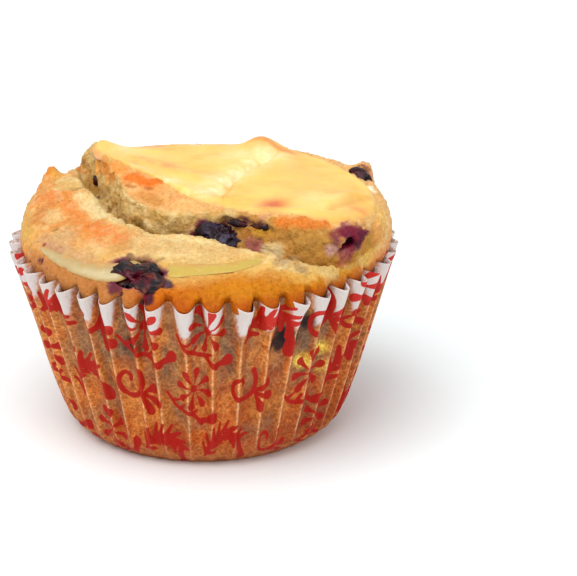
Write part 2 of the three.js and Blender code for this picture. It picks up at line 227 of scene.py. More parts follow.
def catmull_rom_point(a, b, c, d, t):
    gaps = [max(np.sum((q - r) ** 2) ** 0.25, 1e-4) for q, r in ((b, a), (c, b), (d, c))]
    start = ((b - a) / gaps[0] - (c - a) / (gaps[0] + gaps[1]) + (c - b) / gaps[1]) * gaps[1]
    end = ((c - b) / gaps[1] - (d - b) / (gaps[1] + gaps[2]) + (d - c) / gaps[2]) * gaps[1]
    cubic = 2 * b - 2 * c + start + end
    square = -3 * b + 3 * c - 2 * start - end
    return cubic * t**3 + square * t**2 + start * t + b


def from_front(angle):
    """Degrees from the front, positive to the right."""
    return (np.degrees(angle - FRONT) + 180) % 360 - 180


def turned(x, y, angle):
    """The coordinates along and across a direction."""
    c, s = math.cos(angle), math.sin(angle)
    return x * c + y * s, y * c - x * s


def segment_nearest(x, y, start, end):
    """Distance in plan from a line piece, and the share of the way along it."""
    dx, dy = end[0] - start[0], end[1] - start[1]
    along = np.clip(((x - start[0]) * dx + (y - start[1]) * dy) / (dx * dx + dy * dy), 0, 1)
    return np.hypot(x - start[0] - along * dx, y - start[1] - along * dy), along


def path_nearest(x, y, path):
    """Distance in plan from a path, its side (1 to the left, -1 to the right) and share along."""
    nearest, side, share = np.full(np.shape(x), FAR), np.ones(np.shape(x)), np.zeros(np.shape(x))
    for k, (a, b) in enumerate(zip(path, path[1:])):
        distance, along = segment_nearest(x, y, a, b)
        closer = distance < nearest
        nearest = np.where(closer, distance, nearest)
        turn = (b[0] - a[0]) * (y - a[1]) - (b[1] - a[1]) * (x - a[0])
        side = np.where(closer, np.where(turn > 0, 1.0, -1.0), side)
        share = np.where(closer, (k + along) / (len(path) - 1), share)
    return nearest, side, share


# ------------------------------------------------------------------ the baked top

CRACK_PATH = catmull_rom(CRACK, CRACK_STEPS)
CAP_EDGE = (-2, 2)  # distances from the crack over which the cap's height takes over


def crack_at(x, y):
    """The crack nearest each place: signed distance (cap positive), floor, leans, share along."""
    nearest, side, share = path_nearest(x, y, CRACK_PATH)
    steps = np.linspace(0, 1, CRACK_STEPS + 1)
    floor, lean, opening = (np.interp(share, steps, CRACK_PATH[:, k]) for k in (2, 3, 4))
    return side * nearest, floor, lean, opening, share


def dome_power(angle):
    sides = POWER_SIDES * np.cos(angle) ** 2
    return DOME_POWER + sides + POWER_RIGHT * np.cos(angle) + POWER_BACK * np.sin(angle)


def dome_radius(angle):
    return DOME_RADIUS + DOME_SHIFT * np.cos(angle) + DOME_WAVE * np.sin(3 * angle + 1)


def dome_rise(x, y, crack_side):
    rise = mix(SHOULDER_RISE, CAP_RISE, smoothstep(*CAP_EDGE, crack_side))
    for bump_x, bump_y, size, height in BUMPS:
        rise = rise + height * bell(np.hypot(x - bump_x, y - bump_y), size)
    crease = segment_nearest(x, y, CREASE_FROM, CREASE_TO)[0]
    return rise - CREASE_DEPTH * bell(crease, CREASE_WIDTH)


def dome_height(x, y, crack_side=None):
    if crack_side is None:
        crack_side = crack_at(x, y)[0]
    angle = np.arctan2(y, x)
    share = np.minimum(np.hypot(x, y) / dome_radius(angle), 1)
    power = dome_power(angle)
    return DOME_FOOT + dome_rise(x, y, crack_side) * (1 - share**power) ** (1 / power)


# ------------------------------------------------------------------ the pleated wall

RIDGES_BEHIND = FLUTES - len(FRONT_RIDGES) + 1
WALL_SHARPNESS = 7.0  # narrow ridges on the wall
RIM_RIDGE, RIM_ROUNDNESS = 0.8, 2.2  # wide round ridges at the rim, and narrow flat valleys
DEEPEST = 1.28
NEAR_RIM, RIM_OPENING, CURL_FROM = (0.72, 1.0), (0.7, 0.96), (0.88, 1.0)  # shares of the way up
PLEAT_CURLS = {8: 0.9, 9: 0.2, 10: 1.2, 11: 0.3, 4: 0.3, 1: 0.4}  # ridges whose tips bend outward
RIDGE_SEED, VALLEY_SEED = 211, 223
DEPTH_BY_VALLEY, DEPTH_BY_RIDGE, RIDGE_BEND = 0.16, 0.12, 0.4  # how uneven the pleats are


def ridge_angles():
    """Directions of the outward ridges, uneven at the front and closing the ring behind."""
    front = [FRONT + math.radians(a) for a in FRONT_RIDGES]
    first, last = front[0] + TURN, front[-1]
    uneven = math.radians(FLUTE_UNEVENNESS)
    back = [
        last + (first - last) * k / RIDGES_BEHIND + uneven * math.sin(2.4 * k * k + k)
        for k in range(1, RIDGES_BEHIND)
    ]
    return np.array(front + back + [first])


RIDGES = ridge_angles()


def flute_at(angle):
    """The flute's number and the share of the way across it, 0 on its ridge and 0.5 in the valley."""
    place = (angle - RIDGES[0]) % TURN + RIDGES[0]
    number = np.clip(np.searchsorted(RIDGES, place, side="right") - 1, 0, FLUTES - 1)
    return number, (place - RIDGES[number]) / (RIDGES[number + 1] - RIDGES[number])


def valley_share(across, near_rim):
    """0 on an outward ridge, 1 in a valley."""
    wall = 1 - np.abs(np.cos(math.pi * across)) ** WALL_SHARPNESS
    from_ridge = 2 * np.minimum(across, 1 - across)
    rim = np.clip(from_ridge / RIM_RIDGE, 0, 1) ** RIM_ROUNDNESS
    return mix(wall, rim, near_rim)


def flute_random(number, seed):
    """A repeatable number from -1 to 1 for each flute."""
    return hashed(number, number * 0 + 7, number * 0 + 3, seed) * 2 - 1


def nearest_ridge(number, across):
    return (number + (across > 0.5)) % FLUTES


def curl_at(number, across):
    """How far the tip of the nearest ridge bends outward."""
    nearest = nearest_ridge(number, across)
    return sum(amount * (nearest == ridge) for ridge, amount in PLEAT_CURLS.items())


def pleat(number, across, radius, depth, up):
    """The paper's outer radius and valley share. up is the share of the way up the wall."""
    valley = valley_share(across, smoothstep(*RIM_OPENING, up))
    ridge = flute_random(nearest_ridge(number, across), RIDGE_SEED)
    deep = 1 + DEPTH_BY_VALLEY * flute_random(number, VALLEY_SEED) + DEPTH_BY_RIDGE * ridge
    bend = RIDGE_BEND * ridge * smoothstep(*NEAR_RIM, up)
    bend = bend + curl_at(number, across) * smoothstep(*CURL_FROM, up) ** 2
    return radius - valley * depth * deep + bend * (1 - valley), valley


# ------------------------------------------------------------------ mesh tools


def make_piece(name, points, faces, material, nodes, colours=None, values=None):
    """One visible piece from points in millimetres, riding on the muffin's only body."""
    mesh = bpy.data.meshes.new(name)
    points = np.asarray(points, dtype=np.float64) * MM
    faces = np.asarray(faces, dtype=np.int32)
    triangle = faces[:, 2] == faces[:, 3]
    corners = np.concatenate([faces[~triangle].ravel(), faces[triangle][:, :3].ravel()])
    sizes = np.concatenate([np.full((~triangle).sum(), 4), np.full(triangle.sum(), 3)])
    mesh.vertices.add(len(points))
    mesh.vertices.foreach_set("co", points.astype(np.float32).ravel())
    mesh.loops.add(len(corners))
    mesh.loops.foreach_set("vertex_index", corners)
    mesh.polygons.add(len(sizes))
    mesh.polygons.foreach_set("loop_start", (np.cumsum(sizes) - sizes).astype(np.int32))
    mesh.polygons.foreach_set("use_smooth", np.ones(len(sizes), dtype=bool))
    mesh.update(calc_edges=True)
    mesh.validate()
    for key, colour in (colours or {}).items():
        layer = mesh.attributes.new(key, "FLOAT_COLOR", "POINT")
        rgba = np.ones((len(points), 4), dtype=np.float32)
        rgba[:, :3] = np.clip(colour, 0, 1)
        layer.data.foreach_set("color", rgba.ravel())
    for key, value in (values or {}).items():
        layer = mesh.attributes.new(key, "FLOAT", "POINT")
        layer.data.foreach_set("value", np.asarray(value, dtype=np.float32))
    mesh.materials.append(material)
    piece = bpy.data.objects.new(name, mesh)
    bpy.context.scene.collection.objects.link(piece)
    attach(piece, "root")
    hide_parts(*nodes)


def closed_rings(rows, columns, flip=False):
    """Quads of stacked closed rings, with a fan at each end to the two points that follow them."""
    r, c = np.meshgrid(np.arange(rows - 1), np.arange(columns), indexing="ij")
    a = r * columns + c
    b = r * columns + (c + 1) % columns
    quads = np.stack([a, b, b + columns, a + columns], axis=-1).reshape(-1, 4)
    column = np.arange(columns)
    after, last, pole = (column + 1) % columns, (rows - 1) * columns, 0 * column + rows * columns
    start, end = (column, after) if flip else (after, column)
    first_fan = np.stack([start, end, pole, pole], 1)
    last_fan = np.stack([last + end, last + start, pole + 1, pole + 1], 1)
    return np.concatenate([quads[:, ::-1] if flip else quads, first_fan, last_fan])


def ring_strip(upper, lower):
    """Quads between two rings with the same number of points."""
    return np.stack([upper, np.roll(upper, -1), np.roll(lower, -1), lower], 1)


def vertex_normals(points, faces):
    """Area-weighted normals of the points of a quad mesh."""
    a, b, c, d = (points[faces[:, k]] for k in range(4))
    flat = np.cross(c - a, d - b)
    normals = np.zeros_like(points)
    for k in range(4):
        for axis in range(3):
            normals[:, axis] += np.bincount(faces[:, k], flat[:, axis], len(points))
    return normals / np.maximum(np.linalg.norm(normals, axis=1, keepdims=True), 1e-9)


def smoothed(points, faces, weight, rounds):
    """Points moved towards the mean of their neighbours, by a weight for each point."""
    ends = np.concatenate([faces[:, [k, (k + 1) % 4]] for k in range(4)])
    ends = np.concatenate([ends, ends[:, ::-1]])
    count = np.maximum(np.bincount(ends[:, 0], minlength=len(points)), 1)
    for _ in range(rounds):
        mean = np.stack(
            [np.bincount(ends[:, 0], points[ends[:, 1], k], len(points)) / count for k in range(3)],
            axis=1,
        )
        points = points + (mean - points) * np.reshape(weight, (-1, 1))
    return points


CELL_CORNERS = [(i, j, k) for i in (0, 1) for j in (0, 1) for k in (0, 1)]
CELL_EDGES = [
    (a, b) for a in CELL_CORNERS for b in CELL_CORNERS
    if sum(abs(p - q) for p, q in zip(a, b)) == 1 and a < b
]


def surface_net(field, axes):
    """Points and quads of the surface where a field on a grid is zero. The solid is below zero."""
    inside = field < 0
    shape = [n - 1 for n in field.shape]
    corner_sum = sum(
        inside[i : i + shape[0], j : j + shape[1], k : k + shape[2]].astype(np.int8)
        for i, j, k in CELL_CORNERS
    )
    cell = np.argwhere((corner_sum > 0) & (corner_sum < 8))
    total, count = np.zeros((len(cell), 3)), np.zeros(len(cell))
    for a, b in CELL_EDGES:
        ia, ib = (cell + a).T, (cell + b).T
        fa, fb = field[tuple(ia)], field[tuple(ib)]
        crossed = (fa < 0) != (fb < 0)
        t = np.where(crossed, fa / np.where(crossed, fa - fb, 1), 0)
        for axis in range(3):
            start, end = axes[axis][ia[axis]], axes[axis][ib[axis]]
            total[:, axis] += np.where(crossed, start + (end - start) * t, 0)
        count += crossed
    points = total / count[:, None]
    number = np.full(shape, -1, dtype=np.int64)
    number[tuple(cell.T)] = np.arange(len(cell))
    quads = []
    for axis in range(3):
        u, v = (axis + 1) % 3, (axis + 2) % 3
        low = [slice(1, n - 1) for n in field.shape]
        low[axis] = slice(0, field.shape[axis] - 1)
        high = list(low)
        high[axis] = slice(1, field.shape[axis])
        start_in, end_in = inside[tuple(low)], inside[tuple(high)]
        where = np.argwhere(start_in != end_in)
        outwards = start_in[tuple(where.T)]
        base = where + [0 if k == axis else 1 for k in range(3)]
        ring = []
        for du, dv in ((1, 1), (0, 1), (0, 0), (1, 0)):
            index = base.copy()
            index[:, u] -= du
            index[:, v] -= dv
            ring.append(number[tuple(index.T)])
        quad = np.stack(ring, axis=1)
        quads.append(np.where(outwards[:, None], quad, quad[:, ::-1]))
    return points, np.concatenate(quads)


def boundary_loop(faces):
    """The points round the one open edge of a mesh, in order."""
    directed = np.concatenate([faces[:, [k, (k + 1) % 4]] for k in range(4)])
    pairs = set(map(tuple, directed.tolist()))
    following = {b: a for a, b in pairs if (b, a) not in pairs}
    loop = [next(iter(following))]
    while following[loop[-1]] != loop[0]:
        loop.append(following[loop[-1]])
    return loop


def largest_part(points, faces):
    """The mesh without its loose scraps."""
    label = np.arange(len(points))
    while True:
        lowest = label[faces].min(axis=1)
        new = label.copy()
        for k in range(4):
            np.minimum.at(new, faces[:, k], lowest)
        new = new[new]
        if np.array_equal(new, label):
            break
        label = new
    keep = label == np.bincount(label).argmax()
    number = np.cumsum(keep) - 1
    return points[keep], number[faces[keep[faces[:, 0]]]]


# ------------------------------------------------------------------ the muffin's body

CELL = 0.435
BODY_FLOOR = 40.0
BODY_TOP = 67.0
BODY_HALF = 47.5
PAPER_GAP = 0.15
SIDE_RINGS = [36, 30, 24.5, 17, 10.5, 3.6, 0.7]
RIDGE_FILL = 44.8  # how far the crust fills the ridges at the sides
RIDGE_FILL_FROM, RIDGE_FILL_TO = 42.5, 44.9
RELEASE_RIDGE, RELEASE_VALLEY = 45.4, 46.6
SPREAD_RIDGE, SPREAD_VALLEY = 1.8, 0.55  # how fast the crust widens over the paper's edge
SKIRT, SKIRT_HEIGHTS = 1.5, (49.5, 45.5)  # how far the crust bulges over the front ridges
FRONT_ANGLES = (44, 30)  # degrees from the front where the crust lies over the rim
BAND = 3.0
LIP_DROP = 1.7  # how far the cap's crust falls from the cheesecake to the crack on the left
LIP_OUTSIDE, LIP_SIDE = (0, 4.5), (0.5, 2.0)  # distance from the cheesecake, and from the crack
LIP_START, LIP_END = (0.08, 0.16), (0.56, 0.46)  # shares of the way along the crack
SCAR = (-31.5, 6.4, 5.8, 7.4)  # middle and radii in plan of the torn patch on the left
SCAR_DEPTH, SCAR_EDGE, SCAR_RAGGED = 1.1, (1.0, 0.86), (0.16, 3.0, 2, 37)
POCKET, POCKET_INSETS, POCKET_HEIGHTS = 2.0, (0.8, 4.0), (54, 57)  # room below the cheesecake
GROOVE, GROOVE_WIDTH, GROOVE_FROM = 0.5, 0.9, 0.2  # a dip where the cheesecake layer comes out
WALL_MERGE, FLOOR_MERGE, EDGE_MERGE, SOCKET_MERGE, HOLE_MERGE = 0.8, 1.2, 0.35, 0.3, 0.6

CRACK_FLARE, CRACK_FLARE_LIMIT = 1.3, 1.3  # how the shoulder's side opens with height
WALL_CREST, CREST_BELOW, CREST_SIZE = 0.8, 1.0, 1.4  # the rim of the cap's wall hangs over
WALL_BULGE, BULGE_HEIGHT = 0.5, 1.1
WALL_START, WALL_LEAN, WALL_CURVE, WALL_LIMIT = 0.7, 0.9, 0.8, 1.5
FLOOR_SLOPE, FLOOR_SIDE = 0.35, 0.6

CRUST_RELIEF = (0.34, 7.0, 3, 11)  # height, size, octaves, seed, fall
TORN_RELIEF = (0.6, 3.4, 2, 23, 0.35)
SKIN_RELIEF = (0.32, 1.4, 3, 71, 0.75)
GRAIN, GRAIN_MEAN, GRAIN_SIZE, GRAIN_SEED = 0.4, 0.55, 1.5, 31
RELIEF_HEIGHTS, SKIN_HEIGHTS = (44.5, 48.5), (46, 48.5)
SMOOTH_WALL, SMOOTH_ALONG, SMOOTH_SIDE = 0.4, (0.45, 0.6), (-0.5, 1.5)  # the wall on the right
LOOSE_TORN, LOOSE_GRAIN = 0.35, 0.8  # how much of the torn relief the loose crumb has
SOCKET_TORN, HOLE_TORN = 0.9, 0.5
WALL_LUMPS = [  # place on the cap's torn wall, size, how far it stands out
    (-17.8, -7.0, 56.8, 3.6, 1.5),
    (-23.0, 5.1, 55.3, 1.7, -1.3),
    (-24.6, 8.4, 57.6, 2.0, 0.8),
    (-12.5, -12.5, 56.0, 2.2, 0.7),
    (-15.0, -12.2, 53.6, 1.8, -0.9),
    (-6.0, -16.0, 53.8, 2.0, -0.9),
    (6.4, -19.3, 57.2, 1.7, -1.6),
    (12.0, -22.0, 56.2, 2.2, 0.6),
    (19.0, -24.6, 54.2, 2.4, -0.5),
    (24.0, -25.6, 55.0, 3.0, 0.8),
    (31.5, -25.4, 54.4, 2.0, 0.9),
]
CRUST_LUMPS = [  # place on the crust, size, height: blisters, flaps and pits
    (-15.4, -41.8, 47.6, 1.9, 1.3),
    (-15.5, 0.6, 61.6, 2.6, 1.3),
    (-11.5, -2.4, 61.6, 2.2, 1.0),
    (-19.5, 3.0, 61.0, 3.0, 0.5),
    (-17.0, -4.5, 60.0, 2.0, -0.5),
    (-30.0, -1.6, 58.7, 2.6, 0.9),
    (-26.0, -3.5, 57.8, 2.4, 0.7),
    (-33.5, -2.0, 58.4, 2.0, 0.4),
    (-29.5, 2.6, 58.9, 2.4, -1.2),
    (-25.6, 1.5, 57.5, 1.6, -0.8),
    (-35.3, -14.8, 54.4, 1.2, -0.8),
    (-28.0, -20.0, 55.0, 4.0, 0.4),
    (-20.0, -18.0, 56.0, 3.4, 0.5),
    (23.0, -24.2, 58.6, 2.8, 0.7),
    (28.6, -23.6, 58.6, 2.4, 0.5),
    (41.0, 15.0, 60.0, 2.6, 1.6),
    (42.4, 10.0, 58.4, 1.8, 1.4),
    (42.0, 4.0, 57.6, 1.6, 0.8),
    (39.9, 3.6, 58.2, 1.6, 0.6),
    (-33.4, -25.4, 52.8, 2.2, -0.4),
]


def wall_radius(height):
    """The radius of the inside of the paper's valleys, less the gap, at a height."""
    radius = np.interp(height, CASE_HEIGHT, CASE_RADIUS)
    return radius - DEEPEST * np.interp(height, CASE_HEIGHT, CASE_FLUTE) - PAPER - PAPER_GAP


LIP_DIRECTION, LIP_SPAN, LIP_OVERHANG = 325, 24, 1.7  # where the cheesecake runs to the edge


def spread_reach():
    """How far the spread's outline lies from its middle, for each direction."""
    outline = catmull_rom(SPREAD_OUTLINE, 240, closed=True) - np.array(SPREAD_MIDDLE)
    angle = np.unwrap(np.arctan2(outline[:, 1], outline[:, 0]))
    angle = np.append(angle, angle[0] + TURN)
    reach = np.hypot(outline[:, 0], outline[:, 1])
    toward_lip = bell((np.degrees(angle) - LIP_DIRECTION + 180) % 360 - 180, LIP_SPAN)
    return angle, np.append(reach, reach[0]) + LIP_OVERHANG * toward_lip


SPREAD_REACH = spread_reach()


def spread_edge(direction):
    """How far the spread reaches in a direction."""
    angle, reach = SPREAD_REACH
    return np.interp((direction - angle[0]) % TURN + angle[0], angle, reach)


def spread_inset(x, y):
    """Distance in from the spread's outline, along the line to its middle."""
    dx, dy = x - SPREAD_MIDDLE[0], y - SPREAD_MIDDLE[1]
    return spread_edge(np.arctan2(dy, dx)) - np.hypot(dx, dy)


def ellipsoid_distance(x, y, z, berry, grow=0.0):
    """Roughly the distance outside a berry's ellipsoid."""
    (cx, cy, cz), radii, turn = berry
    along, across = turned(x - cx, y - cy, math.radians(turn))
    a, b, h = (r + grow for r in radii)
    size = np.sqrt((along / a) ** 2 + (across / b) ** 2 + ((z - cz) / h) ** 2)
    return (size - 1) * min(a, b, h)


SOCKET_GROWTH = {  # how much wider than its berry the crumb's socket is
    "berry_front": 0.1,
    "berry_crack_left": 0.2,
    "berry_crack_right": -1.2,
    "berry_right": -1.5,
    "berry_back": -0.6,
    "berry_left": -1.6,
}
HOLES = [  # openings over sunk berries: middle, radii, turn
    ((34.2, -22.4, 54.1), (2.3, 2.4, 1.4), 40),
    ((32.9, -24.0, 53.3), (1.1, 1.2, 1.2), 30),
    ((6.2, -19.6, 57.3), (1.5, 1.6, 1.4), 0),
    ((41.9, -12.4, 55.4), (0.9, 1.4, 1.0), 0),
    ((42.4, -9.6, 53.8), (0.8, 1.2, 0.8), 0),
    ((38.6, -17.6, 55.8), (1.2, 1.0, 0.8), 0),
]

LAYER_OUTCROP = [  # degrees from the front, height, half thickness
    (-65, 51.5, 0.0),
    (-60, 51.2, 0.6),
    (-52, 51.0, 1.05),
    (-42, 50.7, 1.2),
    (-34, 50.8, 1.5),
    (-28, 51.3, 1.6),
    (-22, 51.8, 1.3),
    (-16, 52.0, 1.0),
    (-9, 52.1, 0.85),
    (0, 52.3, 0.62),
    (11, 52.5, 0.55),
    (18, 52.9, 0.45),
    (24, 53.3, 0.3),
    (28, 53.7, 0.0),
]
LAYER_BEHIND_BERRY = (-19, 4.8, 12.0)  # degrees, width, how far the layer draws back there


def layer_at(angle):
    """Height and half thickness of the cheesecake layer where it comes out, for a direction."""
    degrees, height, half = np.transpose(LAYER_OUTCROP)
    around = from_front(angle)
    return np.interp(around, degrees, height), np.interp(around, degrees, half)


class Top:
    """Everything about the top that depends only on the place in plan."""

    def __init__(self, x, y):
        self.x, self.y = x, y
        self.angle, self.r = np.arctan2(y, x), np.hypot(x, y)
        self.side, self.floor, self.lean, self.open, self.along = crack_at(x, y)
        self.edge = self.side + CRACK_WIDTH / 2 + self.open
        self.rise = dome_rise(x, y, self.side)
        self.crown = dome_height(x, y, CAP_SIDE)
        self.inset = spread_inset(x, y)
        self.layer_height, self.layer_half = layer_at(self.angle)
        self.front = smoothstep(*FRONT_ANGLES, np.abs(from_front(self.angle)))
        number, across = flute_at(self.angle)
        self.rim, self.valley = pleat(number, across, CASE_RADIUS[-1], CASE_FLUTE[-1], 1.0)
        scar_x, scar_y, scar_wide, scar_deep = SCAR
        apart = np.hypot((x - scar_x) / scar_wide, (y - scar_y) / scar_deep)
        apart = apart + relief(x, y, 0 * x, *SCAR_RAGGED)
        self.scar = smoothstep(*SCAR_EDGE, apart) * (self.side < 0)

    def picked(self, index):
        """The same facts for chosen places."""
        other = object.__new__(Top)
        for key, value in vars(self).items():
            setattr(other, key, value[index])
        return other


def outer_field(top, z):
    """Distance outside the baked surface, without the crack."""
    radius, power = dome_radius(top.angle), dome_power(top.angle)
    lip = LIP_DROP * smoothstep(*LIP_OUTSIDE, -top.inset) * smoothstep(*LIP_SIDE, top.side)
    lip = lip * smoothstep(*LIP_END, top.along) * smoothstep(*LIP_START, top.along)
    rise = top.rise - lip - SCAR_DEPTH * top.scar
    up = np.maximum(z - DOME_FOOT, 0) / rise
    out = top.r / radius
    size = (out**power + up**power) ** (1 / power) + 1e-6
    steep = np.hypot((out / size) ** (power - 1) / radius, (up / size) ** (power - 1) / rise)
    dome = (size - 1) / np.maximum(steep, 1e-3)
    dome = dome - SKIRT * top.front * (1 - top.valley) * smoothstep(*SKIRT_HEIGHTS, z)
    tight = top.rim - PAPER - PAPER_GAP
    filled = mix(np.minimum(tight, RIDGE_FILL), tight, top.front)
    fill = smoothstep(RIDGE_FILL_FROM, RIDGE_FILL_TO, z)
    release = mix(RELEASE_RIDGE, RELEASE_VALLEY, top.valley)
    taper = np.interp(np.minimum(z, RIM_HEIGHT), CASE_HEIGHT, CASE_RADIUS) - CASE_RADIUS[-1]
    wall = mix(wall_radius(np.minimum(z, RIM_HEIGHT)), filled + taper, fill)
    widening = mix(SPREAD_RIDGE, SPREAD_VALLEY, top.valley * top.front)
    wall = wall + widening * np.maximum(z - release, 0)
    pocket = POCKET * smoothstep(*POCKET_INSETS, top.inset) * smoothstep(*POCKET_HEIGHTS, z)
    groove = GROOVE * bell((z - top.layer_height) / np.maximum(top.layer_half, 0.05), GROOVE_WIDTH)
    groove = groove * (top.layer_half > GROOVE_FROM)
    return soft_max(dome, top.r - wall, WALL_MERGE) + pocket + groove


def lumps(places, x, y, z):
    """How far a list of round lumps stands out."""
    total = 0.0
    for lump_x, lump_y, lump_z, size, height in places:
        apart = np.sqrt((x - lump_x) ** 2 + (y - lump_y) ** 2 + (z - lump_z) ** 2)
        total = total + height * bell(apart, size)
    return total


def crack_field(top, z):
    """Distance inside the opened crack, below zero in the crumb."""
    height = (z - top.floor) / (DOME_FOOT + CAP_RISE - top.floor)
    opened = np.clip((z - top.floor) / (DOME_FOOT + SHOULDER_RISE - top.floor), 0, CRACK_FLARE_LIMIT)
    before = top.side + CRACK_WIDTH / 2 + top.open * opened**CRACK_FLARE
    crest = WALL_CREST * bell(z - top.crown + CREST_BELOW, CREST_SIZE)
    bulge = WALL_BULGE * np.sin(math.pi * np.clip(height * BULGE_HEIGHT, 0, 1))
    bulge = bulge + lumps(WALL_LUMPS, top.x, top.y, z)
    lean = (top.lean + WALL_LEAN) * np.clip(height, 0, WALL_LIMIT) ** WALL_CURVE
    beyond = WALL_START + lean - bulge - crest - top.side
    above = z - top.floor - FLOOR_SLOPE * np.maximum(FLOOR_SIDE - top.side, 0)
    return -soft_max(soft_max(-before, -beyond, WALL_MERGE), -above, FLOOR_MERGE)


def body_relief(x, y, z):
    """Lumps of the crust and of the torn crumb, in millimetres."""
    grain = GRAIN * (GRAIN_MEAN - cells(x, y, z, GRAIN_SIZE, GRAIN_SEED))
    return relief(x, y, z, *CRUST_RELIEF), relief(x, y, z, *TORN_RELIEF), grain


STRIP_WIDTH = [  # share of the way along the crack, width of the crumb on the shoulder
    (0.0, 0.4), (0.12, 1.5), (0.18, 6.0), (0.26, 6.0), (0.33, 3.0), (0.45, 1.8), (0.6, 1.6),
    (0.75, 3.4), (1.0, 1.2),
]
STRIP_RAGGED, STRIP_INNER = (1.8, 3.4, 3, 43), 0.3
CALM, CALM_MARGIN, CALM_WIDTH, CALM_FROM = 0.85, 0.6, 1.3, 0.1


def beside_layer(top, z):
    """Falls from 1 to a small share where the cheesecake layer comes out of the crust."""
    near = bell((z - top.layer_height) / (top.layer_half + CALM_MARGIN), CALM_WIDTH)
    return 1 - CALM * near * (top.layer_half > CALM_FROM)


def torn_strip(top):
    """The share of torn crumb on the shoulder beside the crack."""
    width = np.interp(top.along, *np.transpose(STRIP_WIDTH))
    ragged = relief(top.x, top.y, 0 * top.x, *STRIP_RAGGED)
    return smoothstep(width, STRIP_INNER * width, -top.edge + ragged) * (top.side < 0)


def body_field(x_axis, y_axis, z_axis):
    x, y = np.meshgrid(x_axis, y_axis, indexing="ij")
    flat = Top(x, y)
    top = flat.picked((slice(None), slice(None), None))
    z = z_axis[None, None, :]
    outer, crack = outer_field(top, z), crack_field(top, z)
    field = np.maximum(outer, crack)
    strip = torn_strip(flat)
    i, j, k = np.nonzero(np.abs(field) < BAND)
    near, height = flat.picked((i, j)), z_axis[k]
    crust, torn, grain = body_relief(near.x, near.y, height)
    smooth = smoothstep(*SMOOTH_ALONG, near.along) * smoothstep(*SMOOTH_SIDE, near.side)
    loose = np.maximum(strip[i, j], near.scar) * (LOOSE_TORN * torn + LOOSE_GRAIN * grain)
    skin = crust * beside_layer(near, height) + loose
    outer = outer[i, j, k] - lumps(CRUST_LUMPS, near.x, near.y, height)
    outer = outer + smoothstep(*RELIEF_HEIGHTS, height) * skin
    crack = crack[i, j, k] + (torn + grain) * mix(1.0, SMOOTH_WALL, smooth)
    solid = soft_max(outer, crack, EDGE_MERGE)
    for name, berry in BERRIES.items():
        socket = ellipsoid_distance(near.x, near.y, height, berry, SOCKET_GROWTH[name])
        solid = soft_max(solid, -socket - SOCKET_TORN * torn, SOCKET_MERGE)
    for hole in HOLES:
        socket = ellipsoid_distance(near.x, near.y, height, hole)
        solid = soft_max(solid, -socket - HOLE_TORN * torn, HOLE_MERGE)
    field[i, j, k] = solid
    return field


def grid_axis(low, high):
    return np.arange(low, high + CELL, CELL)


def body_mesh():
    """The muffin's body: a fine net over the top and plain rings down inside the paper."""
    plan = grid_axis(-BODY_HALF, BODY_HALF)
    up = grid_axis(BODY_FLOOR, BODY_TOP)
    points, faces = surface_net(body_field(plan, plan, up), (plan, plan, up))
    points, faces = largest_part(points, faces)
    loop = boundary_loop(faces)
    count = len(loop)
    angle = np.arctan2(points[loop, 1], points[loop, 0])
    rings, start = [points], len(points)
    previous = np.array(loop)
    for height in SIDE_RINGS:
        radius = wall_radius(max(height, 0.01))
        rings.append(np.stack([radius * np.cos(angle), radius * np.sin(angle), np.full(count, height)], 1))
        ring = start + np.arange(count)
        faces = np.concatenate([faces, ring_strip(previous, ring)])
        previous, start = ring, start + count
    rings.append(np.array([[0, 0, SIDE_RINGS[-1]]]))
    pole = np.full(count, start)
    faces = np.concatenate([faces, np.stack([previous, np.roll(previous, -1), pole, pole], 1)])
    return np.concatenate(rings), faces


# ------------------------------------------------------------------ colours of the baked surface

CRUST = (226, 192, 128)
CRUST_LEFT = (220, 146, 70)
BLUSH = (228, 126, 54)
STREAK_SKIN = (200, 156, 108)
LOW_LEFT = (182, 120, 62)
FRONT_GOLD = (222, 178, 90)
FRONT_DEEP = (196, 104, 0)
FRONT_AMBER = (200, 126, 12)
RIM_DEEP = (176, 74, 0)
PALE_SKIN = (232, 208, 148)
LIP = (234, 162, 88)
LIP_DEEP = (226, 132, 52)
TORN = (214, 172, 98)
# painted shade: the crack's walls low down, where they lie deep in the crack
TORN_LOW_SHADE = (184, 136, 58)
TORN_RIGHT = (192, 136, 58)
PALE_CRUMB = (236, 216, 160)
SCAR_CRUMB = (228, 190, 118)
BERRY_STAIN = (98, 34, 58)
BERRY_PINK = (176, 100, 100)
MAGENTA = (136, 26, 54)
PLUM = (58, 14, 40)
SIDE_GOLD = (214, 168, 86)
PINK_WHITE = (214, 168, 160)
AMBER = (200, 138, 66)
JELLY = (214, 160, 52)
# painted shade: olive, for the dents and recesses of the crust and of the crack's walls
OLIVE_DENT_SHADE = (112, 92, 34)
# painted shade for the bottoms of pits
BROWN_PIT_SHADE = (150, 66, 26)

